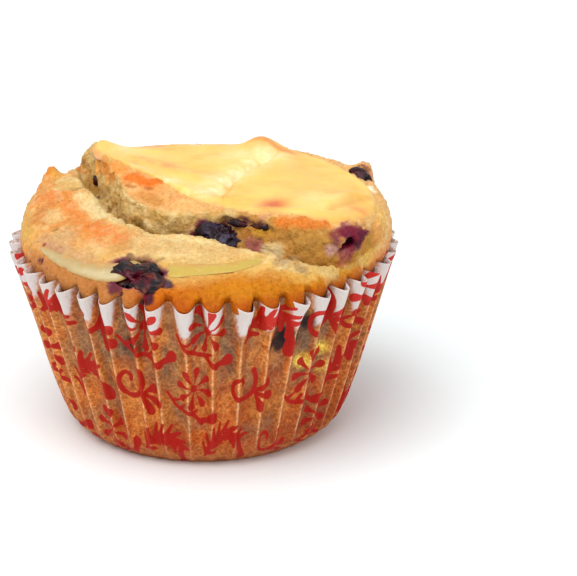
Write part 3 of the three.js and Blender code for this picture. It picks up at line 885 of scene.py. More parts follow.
BLUSHES = [  # x, y, size, strength, on the crust in front of the crack
    (-38.4, 1.5, 3.4, 0.9),
    (-37.0, -2.5, 3.0, 0.8),
    (-32.6, -7.0, 3.4, 0.7),
    (-26.0, -15.8, 4.0, 1.0),
    (-22.8, -20.0, 3.6, 1.0),
    (-18.2, -23.2, 3.4, 0.9),
    (-30.0, -11.5, 2.6, 0.5),
    (-21.6, -23.4, 2.6, 0.6),
    (-13.0, -24.5, 3.0, 0.3),
]
LIP_BLUSHES = [  # x, y, size, strength, on the cap beside its lip
    (-23.4, 9.0, 3.0, 0.6),
    (-17.0, 0.0, 4.0, 0.8),
    (-12.0, -5.0, 3.6, 0.7),
    (-6.0, -10.5, 3.4, 0.5),
    (37.0, -17.0, 3.0, 0.6),
]
PATCHES = [  # place, size, colour, strength: what shows on the crust and the torn walls
    ((-38.8, 12.4, 60.0), 2.4, LIP_DEEP, 0.8),
    ((-36.4, 12.0, 58.0), 2.2, JELLY, 0.7),
    ((-31.7, 25.5, 55.6), 2.2, LIP_DEEP, 0.7),
    # painted shade in the dents of the crust and of the crack's walls
    ((-30.4, 2.0, 58.6), 2.0, OLIVE_DENT_SHADE, 0.4),
    ((-27.0, 0.6, 57.6), 1.8, OLIVE_DENT_SHADE, 0.5),
    ((-15.0, -12.2, 53.4), 2.0, OLIVE_DENT_SHADE, 0.45),
    ((-6.0, -17.0, 53.4), 2.0, OLIVE_DENT_SHADE, 0.4),
    ((-22.6, 3.5, 53.0), 2.0, OLIVE_DENT_SHADE, 0.35),
    ((-35.3, -14.8, 54.4), 1.2, OLIVE_DENT_SHADE, 0.6),
    # painted shade in the pit beside a hole in the crack's wall
    ((6.2, -19.4, 57.2), 1.8, BROWN_PIT_SHADE, 0.7),
    ((-26.2, 10.1, 53.4), 0.9, (40, 14, 24), 0.95),
    ((-27.2, 14.4, 55.6), 1.2, BERRY_STAIN, 0.8),
    # painted shade, olive, in the recess beside the berry on the left
    ((-26.6, 12.0, 54.4), 1.4, (150, 112, 48), 0.7),
    ((9.6, -21.0, 56.6), 2.4, AMBER, 0.85),
    ((15.0, -23.0, 57.0), 1.6, JELLY, 0.9),
    ((4.8, -19.0, 58.2), 1.0, JELLY, 0.8),
    ((17.5, -24.4, 55.0), 3.4, (212, 154, 72), 0.75),
    ((12.2, -23.5, 53.1), 2.6, BERRY_PINK, 0.85),
    ((16.7, -25.3, 52.0), 2.6, PALE_CRUMB, 0.9),
    ((21.5, -27.6, 50.8), 2.2, (196, 168, 120), 0.8),
    ((30.4, -31.2, 50.2), 3.0, (220, 188, 124), 0.8),
    ((-27.2, -6.7, 57.5), 3.4, PALE_CRUMB, 0.7),
    ((-24.4, -9.6, 56.7), 3.0, PALE_CRUMB, 0.75),
    ((-29.8, -4.1, 58.6), 2.2, PALE_CRUMB, 0.6),
    ((-20.8, -14.6, 55.8), 2.4, PALE_CRUMB, 0.6),
    ((-13.0, -28.0, 54.4), 4.6, (208, 166, 102), 0.7),
    ((-20.0, -27.0, 54.0), 3.2, (206, 156, 88), 0.6),
    # painted shade on the shoulder's torn edge
    ((23.3, -33.2, 51.4), 1.8, (178, 146, 104), 0.7),
    ((-32.6, -18.6, 54.2), 3.8, (204, 164, 112), 0.75),
    ((-38.8, -7.6, 54.6), 3.8, (208, 140, 74), 0.75),
    ((-35.6, -9.2, 55.9), 3.0, PALE_SKIN, 0.5),
    ((-26.2, 16.6, 59.0), 2.2, (252, 180, 84), 0.9),
    ((-24.6, 12.6, 60.6), 2.6, (238, 156, 72), 0.9),
    ((-23.0, 8.6, 60.8), 2.6, (238, 156, 72), 0.9),
    ((-21.0, 5.6, 61.4), 2.8, (238, 160, 78), 0.8),
    ((18.9, -31.8, 52.4), 2.4, (184, 152, 116), 0.75),
    ((-14.5, -34.2, 53.4), 2.2, PLUM, 0.8),
    ((34.6, -20.6, 54.2), 2.6, (70, 6, 26), 1.0),
    ((31.6, -24.8, 54.8), 1.7, (176, 90, 112), 0.8),
    ((36.6, -21.4, 55.4), 1.4, (128, 30, 54), 0.85),
    ((34.4, -24.0, 51.8), 1.6, (186, 104, 108), 0.8),
    ((34.6, -22.8, 52.2), 1.8, MAGENTA, 0.8),
    ((31.6, -25.7, 55.0), 1.7, BERRY_STAIN, 0.7),
    ((30.6, -25.7, 53.4), 1.7, PINK_WHITE, 0.85),
    ((37.8, -19.9, 54.9), 1.5, BERRY_STAIN, 0.85),
    ((39.4, -18.6, 55.1), 1.2, BERRY_STAIN, 0.8),
    ((41.0, -17.0, 55.6), 0.9, BERRY_STAIN, 0.7),
    ((33.5, -24.9, 51.4), 1.9, BERRY_PINK, 0.8),
    ((35.6, -23.6, 51.0), 1.6, BERRY_PINK, 0.5),
    ((40.2, 3.6, 58.2), 1.9, (250, 240, 206), 0.95),
    ((-34.6, -24.0, 52.4), 2.0, (190, 140, 108), 0.7),
    ((-36.4, -20.6, 52.4), 1.6, (190, 140, 108), 0.7),
    # painted shade in a pit
    ((-33.6, -25.4, 52.3), 0.5, BROWN_PIT_SHADE, 0.9),
    ((-37.5, -19.1, 51.9), 0.8, (128, 12, 34), 0.95),
    ((-37.8, -22.6, 49.4), 0.8, BERRY_STAIN, 0.95),
    ((-38.6, -21.6, 49.0), 0.7, BERRY_STAIN, 0.9),
    ((-36.6, -25.4, 48.8), 0.5, BERRY_PINK, 0.8),
    ((-8.6, -40.2, 50.4), 1.7, (84, 66, 84), 0.85),
    ((-10.6, -41.0, 49.0), 1.5, (60, 20, 40), 0.9),
    ((-12.4, -41.8, 47.4), 1.3, MAGENTA, 0.8),
    ((-20.6, -38.6, 49.4), 1.6, BERRY_STAIN, 0.7),
    ((33.0, -27.8, 49.8), 3.2, JELLY, 0.4),
    ((38.6, -22.6, 50.0), 2.6, (232, 196, 110), 0.6),
    ((42.3, -13.4, 53.0), 3.8, (238, 172, 92), 0.85),
    ((42.4, -8.0, 55.6), 4.0, (236, 190, 104), 0.75),
    ((40.4, -19.6, 50.4), 3.0, (226, 178, 84), 0.6),
]
STAIN_STRENGTH = {"berry_crack_right": 0.25, "berry_left": 0.05, "berry_back": 0.3}
BANDS = [  # from, to, size, colour, strength: long marks
    ((18.4, -23.4, 59.4), (24.0, -23.6, 59.3), 1.9, LIP_DEEP, 0.9),
    ((24.0, -23.6, 59.3), (29.8, -22.8, 59.0), 1.9, LIP_DEEP, 0.9),
    ((5.0, -18.8, 57.9), (9.8, -21.2, 58.5), 1.6, PLUM, 0.95),
    ((9.8, -21.2, 58.5), (16.2, -23.8, 57.4), 1.4, PLUM, 0.9),
    ((7.6, -20.2, 56.8), (11.6, -21.8, 56.6), 2.0, AMBER, 0.9),
    ((13.2, -22.6, 57.0), (16.0, -23.6, 56.8), 1.4, JELLY, 0.8),
    ((36.2, -21.6, 54.8), (40.8, -17.2, 55.8), 1.3, MAGENTA, 0.85),
    ((31.0, -24.8, 56.2), (36.0, -21.2, 56.8), 1.5, (134, 36, 60), 0.8),
    ((36.2, -21.4, 55.6), (40.6, -17.0, 56.4), 0.9, (150, 48, 66), 0.6),
    ((34.0, -24.6, 52.6), (33.2, -25.6, 49.8), 1.5, (190, 92, 100), 0.8),
    ((-15.8, -33.0, 53.3), (-16.8, -29.8, 53.7), 0.9, PLUM, 0.95),
    ((-14.2, -33.2, 53.4), (-12.8, -30.6, 53.5), 0.8, PLUM, 0.95),
    ((-11.4, -34.2, 53.1), (-9.2, -32.4, 53.4), 0.9, PLUM, 0.9),
    ((-10.4, -38.6, 51.4), (-7.4, -41.0, 50.3), 1.4, PLUM, 0.9),
    ((-11.0, -40.4, 50.2), (-11.8, -43.6, 47.4), 1.4, PLUM, 0.95),
    ((-18.4, -38.0, 49.8), (-20.8, -40.2, 48.4), 1.2, BERRY_STAIN, 0.9),
    ((-19.0, -35.8, 52.0), (-22.0, -34.8, 52.3), 0.9, PLUM, 0.85),
    ((-36.8, -22.0, 50.2), (-38.4, -22.8, 48.6), 0.6, PLUM, 0.95),
    ((-38.0, -17.0, 53.0), (-30.0, -28.0, 52.6), 2.6, STREAK_SKIN, 0.75),
    ((-30.0, -28.0, 52.6), (-22.0, -34.0, 52.6), 2.2, STREAK_SKIN, 0.6),
    ((16.0, -27.6, 50.4), (32.0, -28.4, 49.2), 1.2, (150, 96, 36), 0.5),
    ((-18.4, -1.6, 60.6), (-12.4, -4.4, 60.8), 0.7, (158, 78, 30), 0.6),
    ((-18.0, 2.2, 61.0), (-11.6, -2.6, 61.6), 2.1, (232, 120, 34), 0.95),
    ((-9.0, -33.4, 53.4), (10.0, -33.8, 53.8), 2.8, (210, 168, 96), 0.6),
    ((-8.0, -28.0, 54.3), (8.0, -30.0, 54.2), 3.0, (214, 170, 104), 0.55),
    ((-15.6, -4.6, 60.0), (-10.6, -10.6, 59.4), 1.7, (206, 138, 62), 0.65),
]
MARK_EDGE = (1.25, 0.45)  # shares of a mark's size between which it fades
BAND_RAGGED, PATCH_RAGGED = 0.3, 0.35
CRUST_SMOOTHING, CRUST_ROUNDS = 0.5, 2

BODY_BROAD, BODY_MOTTLE, BODY_FINE = (9.0, 3, 51), (3.2, 3, 59), (2.4, 3, 57)  # size, octaves, seed


def painted(colour, *coats):
    """The colour with coats laid over it in turn. A coat is a paint and how much of it shows."""
    for paint, amount in coats:
        colour = colour + (srgb(*paint) - colour) * np.clip(amount, 0, 1)[..., None]
    return colour


def plain(paint, like):
    """One paint for every place of an array."""
    return np.broadcast_to(srgb(*paint), np.shape(like) + (3,))


def patched(colour, place, ragged):
    """The colour with the patches and bands laid over it, their outlines as ragged as the crumb."""
    for start, end, size, paint, strength in BANDS:
        along = np.subtract(end, start)
        share = np.clip((place - start) @ along / (along @ along), 0, 1)
        apart = np.linalg.norm(place - start - share[:, None] * along, axis=1) / size
        fade = smoothstep(*MARK_EDGE, apart + BAND_RAGGED * ragged)
        colour = painted(colour, (paint, strength * fade))
    for at, size, paint, strength in PATCHES:
        apart = np.linalg.norm(place - at, axis=1) / size
        fade = smoothstep(*MARK_EDGE, apart + PATCH_RAGGED * ragged)
        colour = painted(colour, (paint, strength * fade))
    return colour


def spots(x, y, places):
    """The joined strength of soft round spots, from 0 to 1."""
    clear = 1.0
    for spot_x, spot_y, size, strength in places:
        clear = clear * (1 - strength * bell(np.hypot(x - spot_x, y - spot_y), size))
    return 1 - clear


def crust_colours(top, z, broad, fine, mottled):
    """Skin of the shoulder and the cap: browner low down, blushed beside the crack."""
    around = from_front(top.angle)
    left = mix(0.35, 1.0, smoothstep(-36, -18, top.x))
    blush = spots(top.x, top.y, BLUSHES) * (top.side < 0)
    blush = blush + spots(top.x, top.y, LIP_BLUSHES) * (top.side > 0)
    front = smoothstep(-62, -22, around) * smoothstep(74, 46, around)
    low_left = smoothstep(-76, -60, around) * smoothstep(-12, -26, around)
    right = smoothstep(24, 34, around) * smoothstep(72, 60, around) * (top.side < 0)
    deep = smoothstep(53.0, 49.6, z + 0.8 * broad) * front
    return painted(
        plain(CRUST, z),
        (CRUST_LEFT, smoothstep(-6, -24, top.x)),
        (PALE_SKIN, (0.35 + 0.5 * broad) * left),
        (BLUSH, blush * (0.62 + 1.1 * mottled)),
        (PALE_SKIN, 0.5 * (1 - 0.5 * blush) * smoothstep(0.1, 0.7, mottled)),
        (FRONT_GOLD, 0.8 * smoothstep(54.6, 52.6, z + 0.8 * broad) * front),
        (FRONT_DEEP, deep),
        (FRONT_AMBER, 0.9 * deep * smoothstep(-12, 12, around)),
        (BLUSH, 0.55 * smoothstep(52, 48, z) * (1 - front)),
        (FRONT_GOLD, 0.8 * right * smoothstep(48.6, 49.8, z + 0.5 * fine)),
        (RIM_DEEP, 0.75 * smoothstep(49.2, 46.4, z)),
        (SIDE_GOLD, bell(around + 80, 16) * smoothstep(-38, -42, top.x) * bell(z - 51.5, 3.2)),
        (LOW_LEFT, 0.85 * low_left * smoothstep(51.6, 49.8, z + 0.8 * broad)),
        (LIP, 0.55 * smoothstep(0.5, 3.5, top.side) * smoothstep(4.5, 0.5, top.inset)),
    )


def torn_colours(top, z, fine):
    """Crumb of the crack's walls: painted shade low down in the crack, darker and smoother on the right."""
    height = np.clip((z - top.floor) / (DOME_FOOT + CAP_RISE - top.floor), 0, 1.2)
    smooth_wall = smoothstep(0.5, 0.6, top.along) * smoothstep(-0.6, 0.6, top.side)
    return painted(
        plain(TORN_LOW_SHADE, z),
        (TORN, smoothstep(0.0, 0.6, height)),
        (TORN_RIGHT, 0.85 * smooth_wall),
        (PALE_CRUMB, (0.3 + 0.8 * fine) * (1 - smooth_wall) * 0.6),
    )


def torn_share(top, z, fine):
    """How much of each place is the crack's wall, and how much is loose crumb beside it."""
    crack = crack_field(top, z)
    wall = smoothstep(-1.1, -0.25, crack + 0.35 * fine) * smoothstep(47, 48.5, z)
    return wall, np.maximum(torn_strip(top), top.scar) * smoothstep(49, 51, z)


def berry_stain(points, fine):
    """How much the juice of the nearest berry has stained each point."""
    stain = np.zeros(len(points))
    for name, berry in BERRIES.items():
        gap = ellipsoid_distance(*points.T, berry) + 0.9 * fine
        stain = np.maximum(stain, STAIN_STRENGTH.get(name, 1.0) * smoothstep(1.7, 0.1, gap))
    return stain


def body_colours(points):
    """Colour of each point, how torn it is and how stained."""
    x, y, z = points.T
    top = Top(x, y)
    broad, mottled, fine = (fractal(x, y, z, *n) for n in (BODY_BROAD, BODY_MOTTLE, BODY_FINE))
    wall, loose = torn_share(top, z, fine)
    stain = berry_stain(points, fine)
    colour = painted(
        crust_colours(top, z, broad, fine, mottled),
        (SCAR_CRUMB, 0.8 * loose),
        (PALE_CRUMB, 0.6 * loose * smoothstep(-0.2, 0.6, fine)),
    )
    colour = painted(
        mix(colour, torn_colours(top, z, fine), wall[:, None]),
        (BERRY_PINK, 0.7 * smoothstep(0.0, 0.5, stain)),
        (BERRY_STAIN, smoothstep(0.3, 1.0, stain)),
    )
    colour = patched(colour, points, fine) * (1 + 0.06 * fine)[:, None]
    return np.clip(colour, 0, 1), np.maximum(wall, loose), stain


def make_body():
    points, faces = body_mesh()
    x, y, z = points.T
    top = Top(x, y)
    torn = np.maximum(*torn_share(top, z, fractal(x, y, z, *BODY_FINE)))
    weight = np.where(z > BODY_FLOOR + 1, CRUST_SMOOTHING * (1 - torn), 0)
    points = smoothed(points, faces, weight, CRUST_ROUNDS)
    skin = relief(x, y, z, *SKIN_RELIEF) * smoothstep(*SKIN_HEIGHTS, z) * beside_layer(top, z)
    points = points + vertex_normals(points, faces) * skin[:, None]
    colour, torn, stain = body_colours(points)
    make_piece(
        "muffin_body", points, faces, crumb_material(), ["crumb"],
        {"tint": colour}, {"torn": torn, "stain": stain},
    )


# ------------------------------------------------------------------ cheesecake on the cap

CREAM = (240, 206, 106)
CREAM_PALE = (246, 230, 176)
CREAM_DEEP = (238, 184, 88)
CREAM_BLUSH = (236, 148, 72)
CREAM_BROWN = (206, 84, 34)

FOLDS = [  # line in plan, height, width on its left, width on its right
    ([(-24.5, 11), (-19, 5), (-12, -1), (-5, -7), (3, -12), (9, -15)], 0.9, 3.2, 1.6),
    ([(-20, 20), (-13, 11), (-6, 5), (1, 0), (6, -5)], 0.6, 4.0, 2.4),
    ([(20, 22.5), (16.5, 15), (12.5, 8.5), (9.5, 2), (7.0, -4), (5.5, -12)], 1.5, 3.6, 0.8),
    ([(17.5, 22), (14.5, 15.6), (10.6, 9.4), (7.8, 3), (5.2, -4)], -0.7, 1.6, 1.6),
    ([(29.5, -16.5), (33, -12), (36, -7.5), (39.5, -4.5)], 1.1, 2.8, 0.6),
    ([(30.5, -18), (34, -13.5), (37.4, -9), (40.2, -6)], -0.5, 1.0, 1.0),
    ([(-24, 25), (-14, 24), (-4, 27), (6, 28)], 0.6, 2.5, 2.5),
    ([(12, -18.5), (20, -19.6), (28, -19.4)], 0.5, 1.8, 1.2),
]
CURDS = [(16.6, 20, 3.0), (13.8, 14.6, 3.0), (10.4, 9, 2.6), (7.6, 3.4, 2.4), (4.8, -2.6, 2.2)]
CURD_HEIGHT = 0.5
CREAM_PALES = [
    (16, 19, 4.2, 1.0), (12.5, 13, 4.0, 1.0), (9, 6.5, 3.6, 0.95), (5, 1, 3.4, 0.95),
    (2, -6, 4.0, 0.8), (-1, -11, 3.5, 0.6), (-16, 5, 3.0, 0.6), (-8, -2, 3.2, 0.65),
    (8, 20, 4.5, 0.5), (-20, 24, 4.0, 0.5), (28, -14, 6.0, 0.35),
]
CREAM_DEEPS = [
    (13, 25, 4.5, 0.9), (23, 20, 4.0, 0.7), (28, 6, 6.0, 0.55), (36, -1, 4.5, 0.6),
    (20, 8, 5.0, 0.45), (-10, 30, 6.0, 0.6), (38, -12, 3.5, 0.8), (34, -19, 4.0, 0.8),
    (26, -22, 4.0, 0.6), (20, -4, 4.0, 0.3),
]
CREAM_BLUSHES = [
    (-13, 31.5, 3.6, 0.8), (-14.5, 13, 3.2, 0.7), (-9.5, 10, 3.2, 0.7), (-4.5, 7, 2.8, 0.5),
    (14, 25.5, 3.0, 0.6), (20.5, 24, 2.6, 0.7), (37.5, -14, 3.2, 0.7), (17.5, -21.5, 2.5, 0.4),
]
BROWN_SPOT, BROWN_SPOT_SIZE = (17.0, -16.6), 3.3
CREAM_LINES = [  # path in plan, width, colour, strength: shaded edges of the folds
    ([(20.2, 23.0), (18.0, 18.6), (13.9, 12.6), (10.8, 7.6), (8.2, 1.5), (6.2, -6), (5.4, -13)],
     0.8, (222, 158, 62), 0.6),
    ([(30.5, -17.6), (34.2, -12.6), (37.8, -7.6), (40.4, -4.6)], 0.6, (224, 160, 76), 0.6),
    ([(12.4, 25.6), (15.4, 24.6), (18.4, 23.4), (21.6, 21.4)], 1.2, (228, 138, 58), 0.8),
]
PITS = [(13.1, 16.8, 1.1, 0.45), (9.4, 14.5, 1.2, 0.3), (6.2, -1.1, 1.0, 0.4)]
FOLD_STEPS = 24
CURD_RELIEF = (CURD_HEIGHT, 1.6, 2, 85)
SPREAD_BROAD, SPREAD_FINE = (8.0, 3, 91), (2.2, 3, 97)
SPREAD_SWELL, SPREAD_RIPPLE = (0.16, 7.0, 2, 81), (0.05, 2.0, 2, 87)
SPREAD_COVER, COVER_INSETS = (-0.7, 0.35), (-0.2, 1.6)  # how it ends below the crust at its edge
SPREAD_BEAD, BEAD_INSET, BEAD_SIZE = 0.25, 2.0, 1.4  # a low bead just inside the edge
FOLD_INSETS, FOLD_SINK = (0, 3), 0.15
SPREAD_MARGIN = 0.35
SPREAD_COLUMNS, SPREAD_RINGS, SPREAD_UNDER_RINGS = 400, 96, 6


def fold_height(x, y):
    """Height of the folds that the cheesecake set in."""
    total = np.zeros(np.shape(x))
    for line, height, left, right in FOLDS:
        nearest, side, share = path_nearest(x, y, catmull_rom(line, FOLD_STEPS))
        taper = np.sin(math.pi * np.clip(share * 0.9 + 0.05, 0, 1)) ** 0.5
        total = total + height * taper * bell(nearest, np.where(side > 0, left, right))
    curd = relief(x, y, 0 * x, *CURD_RELIEF)
    for curd_x, curd_y, size in CURDS:
        total = total + curd * bell(np.hypot(x - curd_x, y - curd_y), size)
    for pit_x, pit_y, size, depth in PITS:
        total = total - depth * bell(np.hypot(x - pit_x, y - pit_y), size)
    return total


def spread_top(x, y, inset):
    cover = mix(*SPREAD_COVER, smoothstep(*COVER_INSETS, inset))
    cover = cover + SPREAD_BEAD * bell(inset - BEAD_INSET, BEAD_SIZE)
    soft = relief(x, y, 0 * x, *SPREAD_SWELL) + relief(x, y, 0 * x, *SPREAD_RIPPLE)
    folds = (fold_height(x, y) - FOLD_SINK) * smoothstep(*FOLD_INSETS, inset)
    return dome_height(x, y) + cover + folds + soft


def spread_colours(x, y, inset):
    broad, fine = fractal(x, y, 0 * x, *SPREAD_BROAD), fractal(x, y, 0 * x, *SPREAD_FINE)
    colour = painted(
        plain(CREAM, x),
        (CREAM_DEEP, 0.25 + 0.5 * broad),
        (CREAM_DEEP, spots(x, y, CREAM_DEEPS)),
        (CREAM_PALE, spots(x, y, CREAM_PALES) * (0.9 + 0.4 * fine)),
        (CREAM_BLUSH, spots(x, y, CREAM_BLUSHES) * (0.9 + 0.5 * fine)),
    )
    for path, width, paint, strength in CREAM_LINES:
        apart = path_nearest(x, y, path)[0]
        colour = painted(colour, (paint, strength * bell(apart + 0.3 * fine, width)))
    spot = np.hypot(x - BROWN_SPOT[0], y - BROWN_SPOT[1]) / BROWN_SPOT_SIZE
    return painted(
        colour,
        (CREAM_BLUSH, 0.8 * bell(spot, 1.35)),
        (CREAM_BROWN, 0.9 * bell(spot, 0.8)),
        (CREAM_DEEP, 0.8 * smoothstep(3.0, 0.0, inset + 0.9 * fine)),
        (LIP, smoothstep(1.6, -0.2, inset + 0.6 * fine)),
    )


def make_spread():
    angle = np.linspace(0, TURN, SPREAD_COLUMNS, endpoint=False)
    edge = spread_edge(angle) + SPREAD_MARGIN
    shares = np.linspace(0, 1, SPREAD_RINGS + 1)[1:]
    under = np.linspace(1, 0, SPREAD_UNDER_RINGS + 1)[:-1]
    share = np.concatenate([shares, under])[:, None]
    x = SPREAD_MIDDLE[0] + share * edge * np.cos(angle)
    y = SPREAD_MIDDLE[1] + share * edge * np.sin(angle)
    z = spread_top(x, y, spread_inset(x, y))
    bottom = slice(SPREAD_RINGS, None)
    z[bottom] -= mix(SPREAD_THICKNESS, SPREAD_EDGE, share[bottom] ** 2)
    middle = np.array(SPREAD_MIDDLE, dtype=float)
    peak = spread_top(middle[:1], middle[1:], np.array([FAR]))[0]
    poles = [[*middle, peak], [*middle, peak - SPREAD_THICKNESS]]
    points = np.concatenate([np.stack([x, y, z], -1).reshape(-1, 3), poles])
    faces = closed_rings(SPREAD_RINGS + SPREAD_UNDER_RINGS, SPREAD_COLUMNS, flip=True)
    x, y = points[:, 0], points[:, 1]
    make_piece(
        "cheesecake_top", points, faces, cheesecake_material(),
        ["cheesecake_spread"], {"tint": spread_colours(x, y, spread_inset(x, y))},
    )


# ------------------------------------------------------------------ cheesecake layer

LAYER_COLUMNS = 540
LAYER_SHARES = [0.15, 0.35, 0.55, 0.72, 0.86]
LAYER_EDGE_STEPS = 12
LAYER_SHOWN_FROM = (0.05, 0.3)  # half thicknesses over which the layer reaches the surface
LAYER_THINNEST = 0.4
LAYER_BULGE, LAYER_SINK = 0.75, 0.5  # how far its edge bulges, from how far below the surface
LAYER_WOBBLE, LAYER_FINE = (0.26, 3.0, 3, 101), (2.0, 3, 107)
STREAK_LEFT = (182, 157, 105)
# paler cream toward the berry, with a painted highlight along the middle of the streak's bulge
STREAK_PALE_HIGHLIGHT = (204, 188, 146)
STREAK_EDGE = (204, 152, 84)
STREAK_FRONT = (198, 168, 74)
STREAK_GREEN = (194, 170, 66)
SURFACE_ROUNDS, SURFACE_GUESS, HIGHEST_SHARE = 5, 0.97, 0.98


def surface_radius(angle, height):
    """The radius of the crust at a direction and height, above the rim."""
    radius, power = dome_radius(angle), dome_power(angle)
    guess = radius * SURFACE_GUESS
    for _ in range(SURFACE_ROUNDS):
        rise = dome_rise(guess * np.cos(angle), guess * np.sin(angle), -CAP_SIDE)
        up = np.clip((height - DOME_FOOT) / rise, 0, HIGHEST_SHARE)
        guess = radius * (1 - up**power) ** (1 / power)
    return guess


def layer_profile(angle):
    """Rings of radius and height from the layer's upper middle round its edge to the lower middle."""
    height, half = layer_at(angle)
    shown = smoothstep(*LAYER_SHOWN_FROM, half)
    half = np.maximum(half, LAYER_THINNEST)
    reach = mix(LAYER_HIDDEN_REACH, surface_radius(angle, height), shown)
    middle = mix(LAYER_HEIGHT + LAYER_TILT * np.cos(angle), height, shown)
    berry_at, berry_width, draw_back = LAYER_BEHIND_BERRY
    behind = draw_back * bell(from_front(angle) - berry_at, berry_width)

    def face(sign, share):
        dip = LAYER_DIP * (1 - smoothstep(*LAYER_DIP_RADII, share * reach))
        return share * reach, middle - dip + sign * mix(LAYER_THICKNESS / 2, half, share**3)

    def edge(turn):
        up = half * math.cos(turn)
        dip = LAYER_DIP * (1 - smoothstep(*LAYER_DIP_RADII, reach)) * (1 - shown)
        bulge = (LAYER_BULGE * math.sin(turn) - LAYER_SINK - behind) * shown
        return mix(reach, surface_radius(angle, height + up), shown) + bulge, middle - dip + up

    turns = [math.pi * (step + 0.5) / LAYER_EDGE_STEPS for step in range(LAYER_EDGE_STEPS)]
    profile = [face(1, share) for share in LAYER_SHARES] + [edge(turn) for turn in turns]
    profile += [face(-1, share) for share in reversed(LAYER_SHARES)]
    return *np.transpose(profile, (1, 0, 2)), shown


def layer_colours(points):
    angle = np.arctan2(points[:, 1], points[:, 0])
    around, fine = from_front(angle), fractal(*points.T, *LAYER_FINE)
    height, half = layer_at(angle)
    off = np.abs(points[:, 2] - height) / np.maximum(half, LAYER_THINNEST)
    # paler cream toward the berry, and a painted highlight along the streak's middle
    pale_highlight = smoothstep(-20, -28, around) * (0.3 + 0.4 * bell(around + 34, 8))
    return painted(
        plain(STREAK_LEFT, angle),
        (STREAK_FRONT, smoothstep(-22, -8, around)),
        (STREAK_GREEN, 0.5 * bell(around + 14, 9) + 0.2 * fine),
        (STREAK_PALE_HIGHLIGHT, pale_highlight * smoothstep(0.7, 0.1, off)),
        (STREAK_EDGE, 0.75 * smoothstep(0.5, 1.0, off + 0.25 * fine)),
    )


def make_layer():
    """A dished disc through the food, whose bulging edge shows on the shoulder."""
    angle = np.linspace(0, TURN, LAYER_COLUMNS, endpoint=False)
    radius, z, shown = layer_profile(angle)
    x, y = radius * np.cos(angle), radius * np.sin(angle)
    wobble = relief(x, y, z, *LAYER_WOBBLE) * shown
    points = np.stack([x + wobble * np.cos(angle), y + wobble * np.sin(angle), z + wobble], -1)
    sunk = LAYER_HEIGHT - LAYER_DIP
    poles = [[0, 0, sunk + LAYER_THICKNESS / 2], [0, 0, sunk - LAYER_THICKNESS / 2]]
    points = np.concatenate([points.reshape(-1, 3), poles])
    make_piece(
        "cheesecake_streak", points, closed_rings(len(z), LAYER_COLUMNS, flip=True),
        cheesecake_material(), ["cheesecake_layer"], {"tint": layer_colours(points)},
    )


# ------------------------------------------------------------------ berries

BERRY_DETAIL = 5
SIDE_BERRY_SHOW = 0.1  # how far a berry stands out of the crumb inside the paper
BERRY_SKIN = (22, 4, 12)
BERRY_BLOOM = (84, 76, 106)
BERRY_FLESH = (88, 10, 30)
BERRY_GLOW = (140, 58, 24)
# painted shade in the creases of the skin
BERRY_CREASE_SHADE = (16, 4, 8)

BERRY_FITS = {  # where the berry has changed in baking: shift of its middle, growth of its radii
    "berry_front": ((0.2, -0.6, -0.3), (0.2, 0.3, 0.2)),
    "berry_crack_left": ((0.4, -0.5, 0.2), (0.7, 0.5, 0.2)),
    "berry_crack_right": ((-0.7, -2.1, 1.0), (0.3, -0.8, -1.2)),
    "berry_right": ((-1.8, 2.2, 0.2), (0.2, 0.0, -0.2)),
    "berry_back": ((-0.8, -1.3, -0.7), (0.1, -0.4, -0.1)),
    "berry_left": ((0.1, 1.3, 0.9), (-0.8, -2.2, -0.5)),
}
BERRY_SHOW = {"berry_front": 0.5}  # how far it stands out of the crust
SETTLING, SLOPE_STEP = 0.85, 0.5
KNOB_SIZE, KNOBS_FROM = 1.7, (-1.5, 0.5)
KNOB_HEIGHT = {"berry_crack_left": 2.2, "berry_front": 0.8}  # the small knobs of a berry's right half
BERRY_LOOKS = {  # wrinkle height, swelling, hollow depth, direction the hollow faces, bloom, flesh
    "berry_front": (1.3, 1.5, 0.4, (-0.5, -0.75, 0.5), 0.0, 0.9),
    "berry_crack_left": (1.2, 1.2, 0.10, (0.3, -0.6, 0.7), 0.55, 0.1),
    "berry_crack_right": (0.5, 0.5, 0.20, (0.2, -0.5, 0.8), 0.1, 0.8),
    "berry_right": (1.2, 1.4, 0.50, (0.35, -0.85, 0.2), 0.0, 0.9),
    "berry_back": (0.8, 0.8, 0.30, (-0.3, -0.8, 0.5), 0.0, 0.4),
    "berry_left": (0.6, 0.6, 0.10, (0.0, -0.8, 0.4), 0.0, 0.3),
    "berry_side_left": (0.40, 0.3, 0.10, (-0.4, -0.9, 0.0), 0.2, 0.2),
    "berry_side_middle": (0.40, 0.3, 0.10, (0.4, -0.9, 0.0), 0.2, 0.2),
}
BERRY_SEED, BERRY_SEED_STEP = 401, 17
WARP, CREASE, LUMP, SWELL, BLOOM = (3.0, 2), (3.4, 3), (1.6, 2), (4.2, 2), (2.6, 3)  # size, octaves
WARP_REACH, CREASE_SHARPNESS, OPEN_WARP = 1.2, 2.4, 0.22
OPEN_EDGE = (0.62, 0.86)  # how squarely the skin faces the hollow where it has burst
LUMP_SHARE, HOLLOW_LUMP, BROW_SHARE, BROW_AT, BROW_SIZE = 0.25, 0.3, 0.35, 0.25, 0.2


def unit_ball(detail):
    """Points and triangles, held as quads with a repeated corner, of a fine round ball."""
    mesh = bmesh.new()
    bmesh.ops.create_icosphere(mesh, subdivisions=detail, radius=1.0)
    points = np.array([v.co[:] for v in mesh.verts])
    faces = np.array([[v.index for v in f.verts] for f in mesh.faces])
    mesh.free()
    return points, np.concatenate([faces, faces[:, 2:]], axis=1)


def settled(points, middle, show):
    """Points pushed in until they hardly stand out of the crust."""

    def outside(places):
        x, y, z = places.T
        return outer_field(Top(x, y), z)

    steps = SLOPE_STEP * np.eye(3)
    slope = outside(middle + steps) - outside(middle - steps)
    excess = np.maximum(outside(points) - show, 0)
    return points - SETTLING * excess[:, None] * slope / np.linalg.norm(slope)


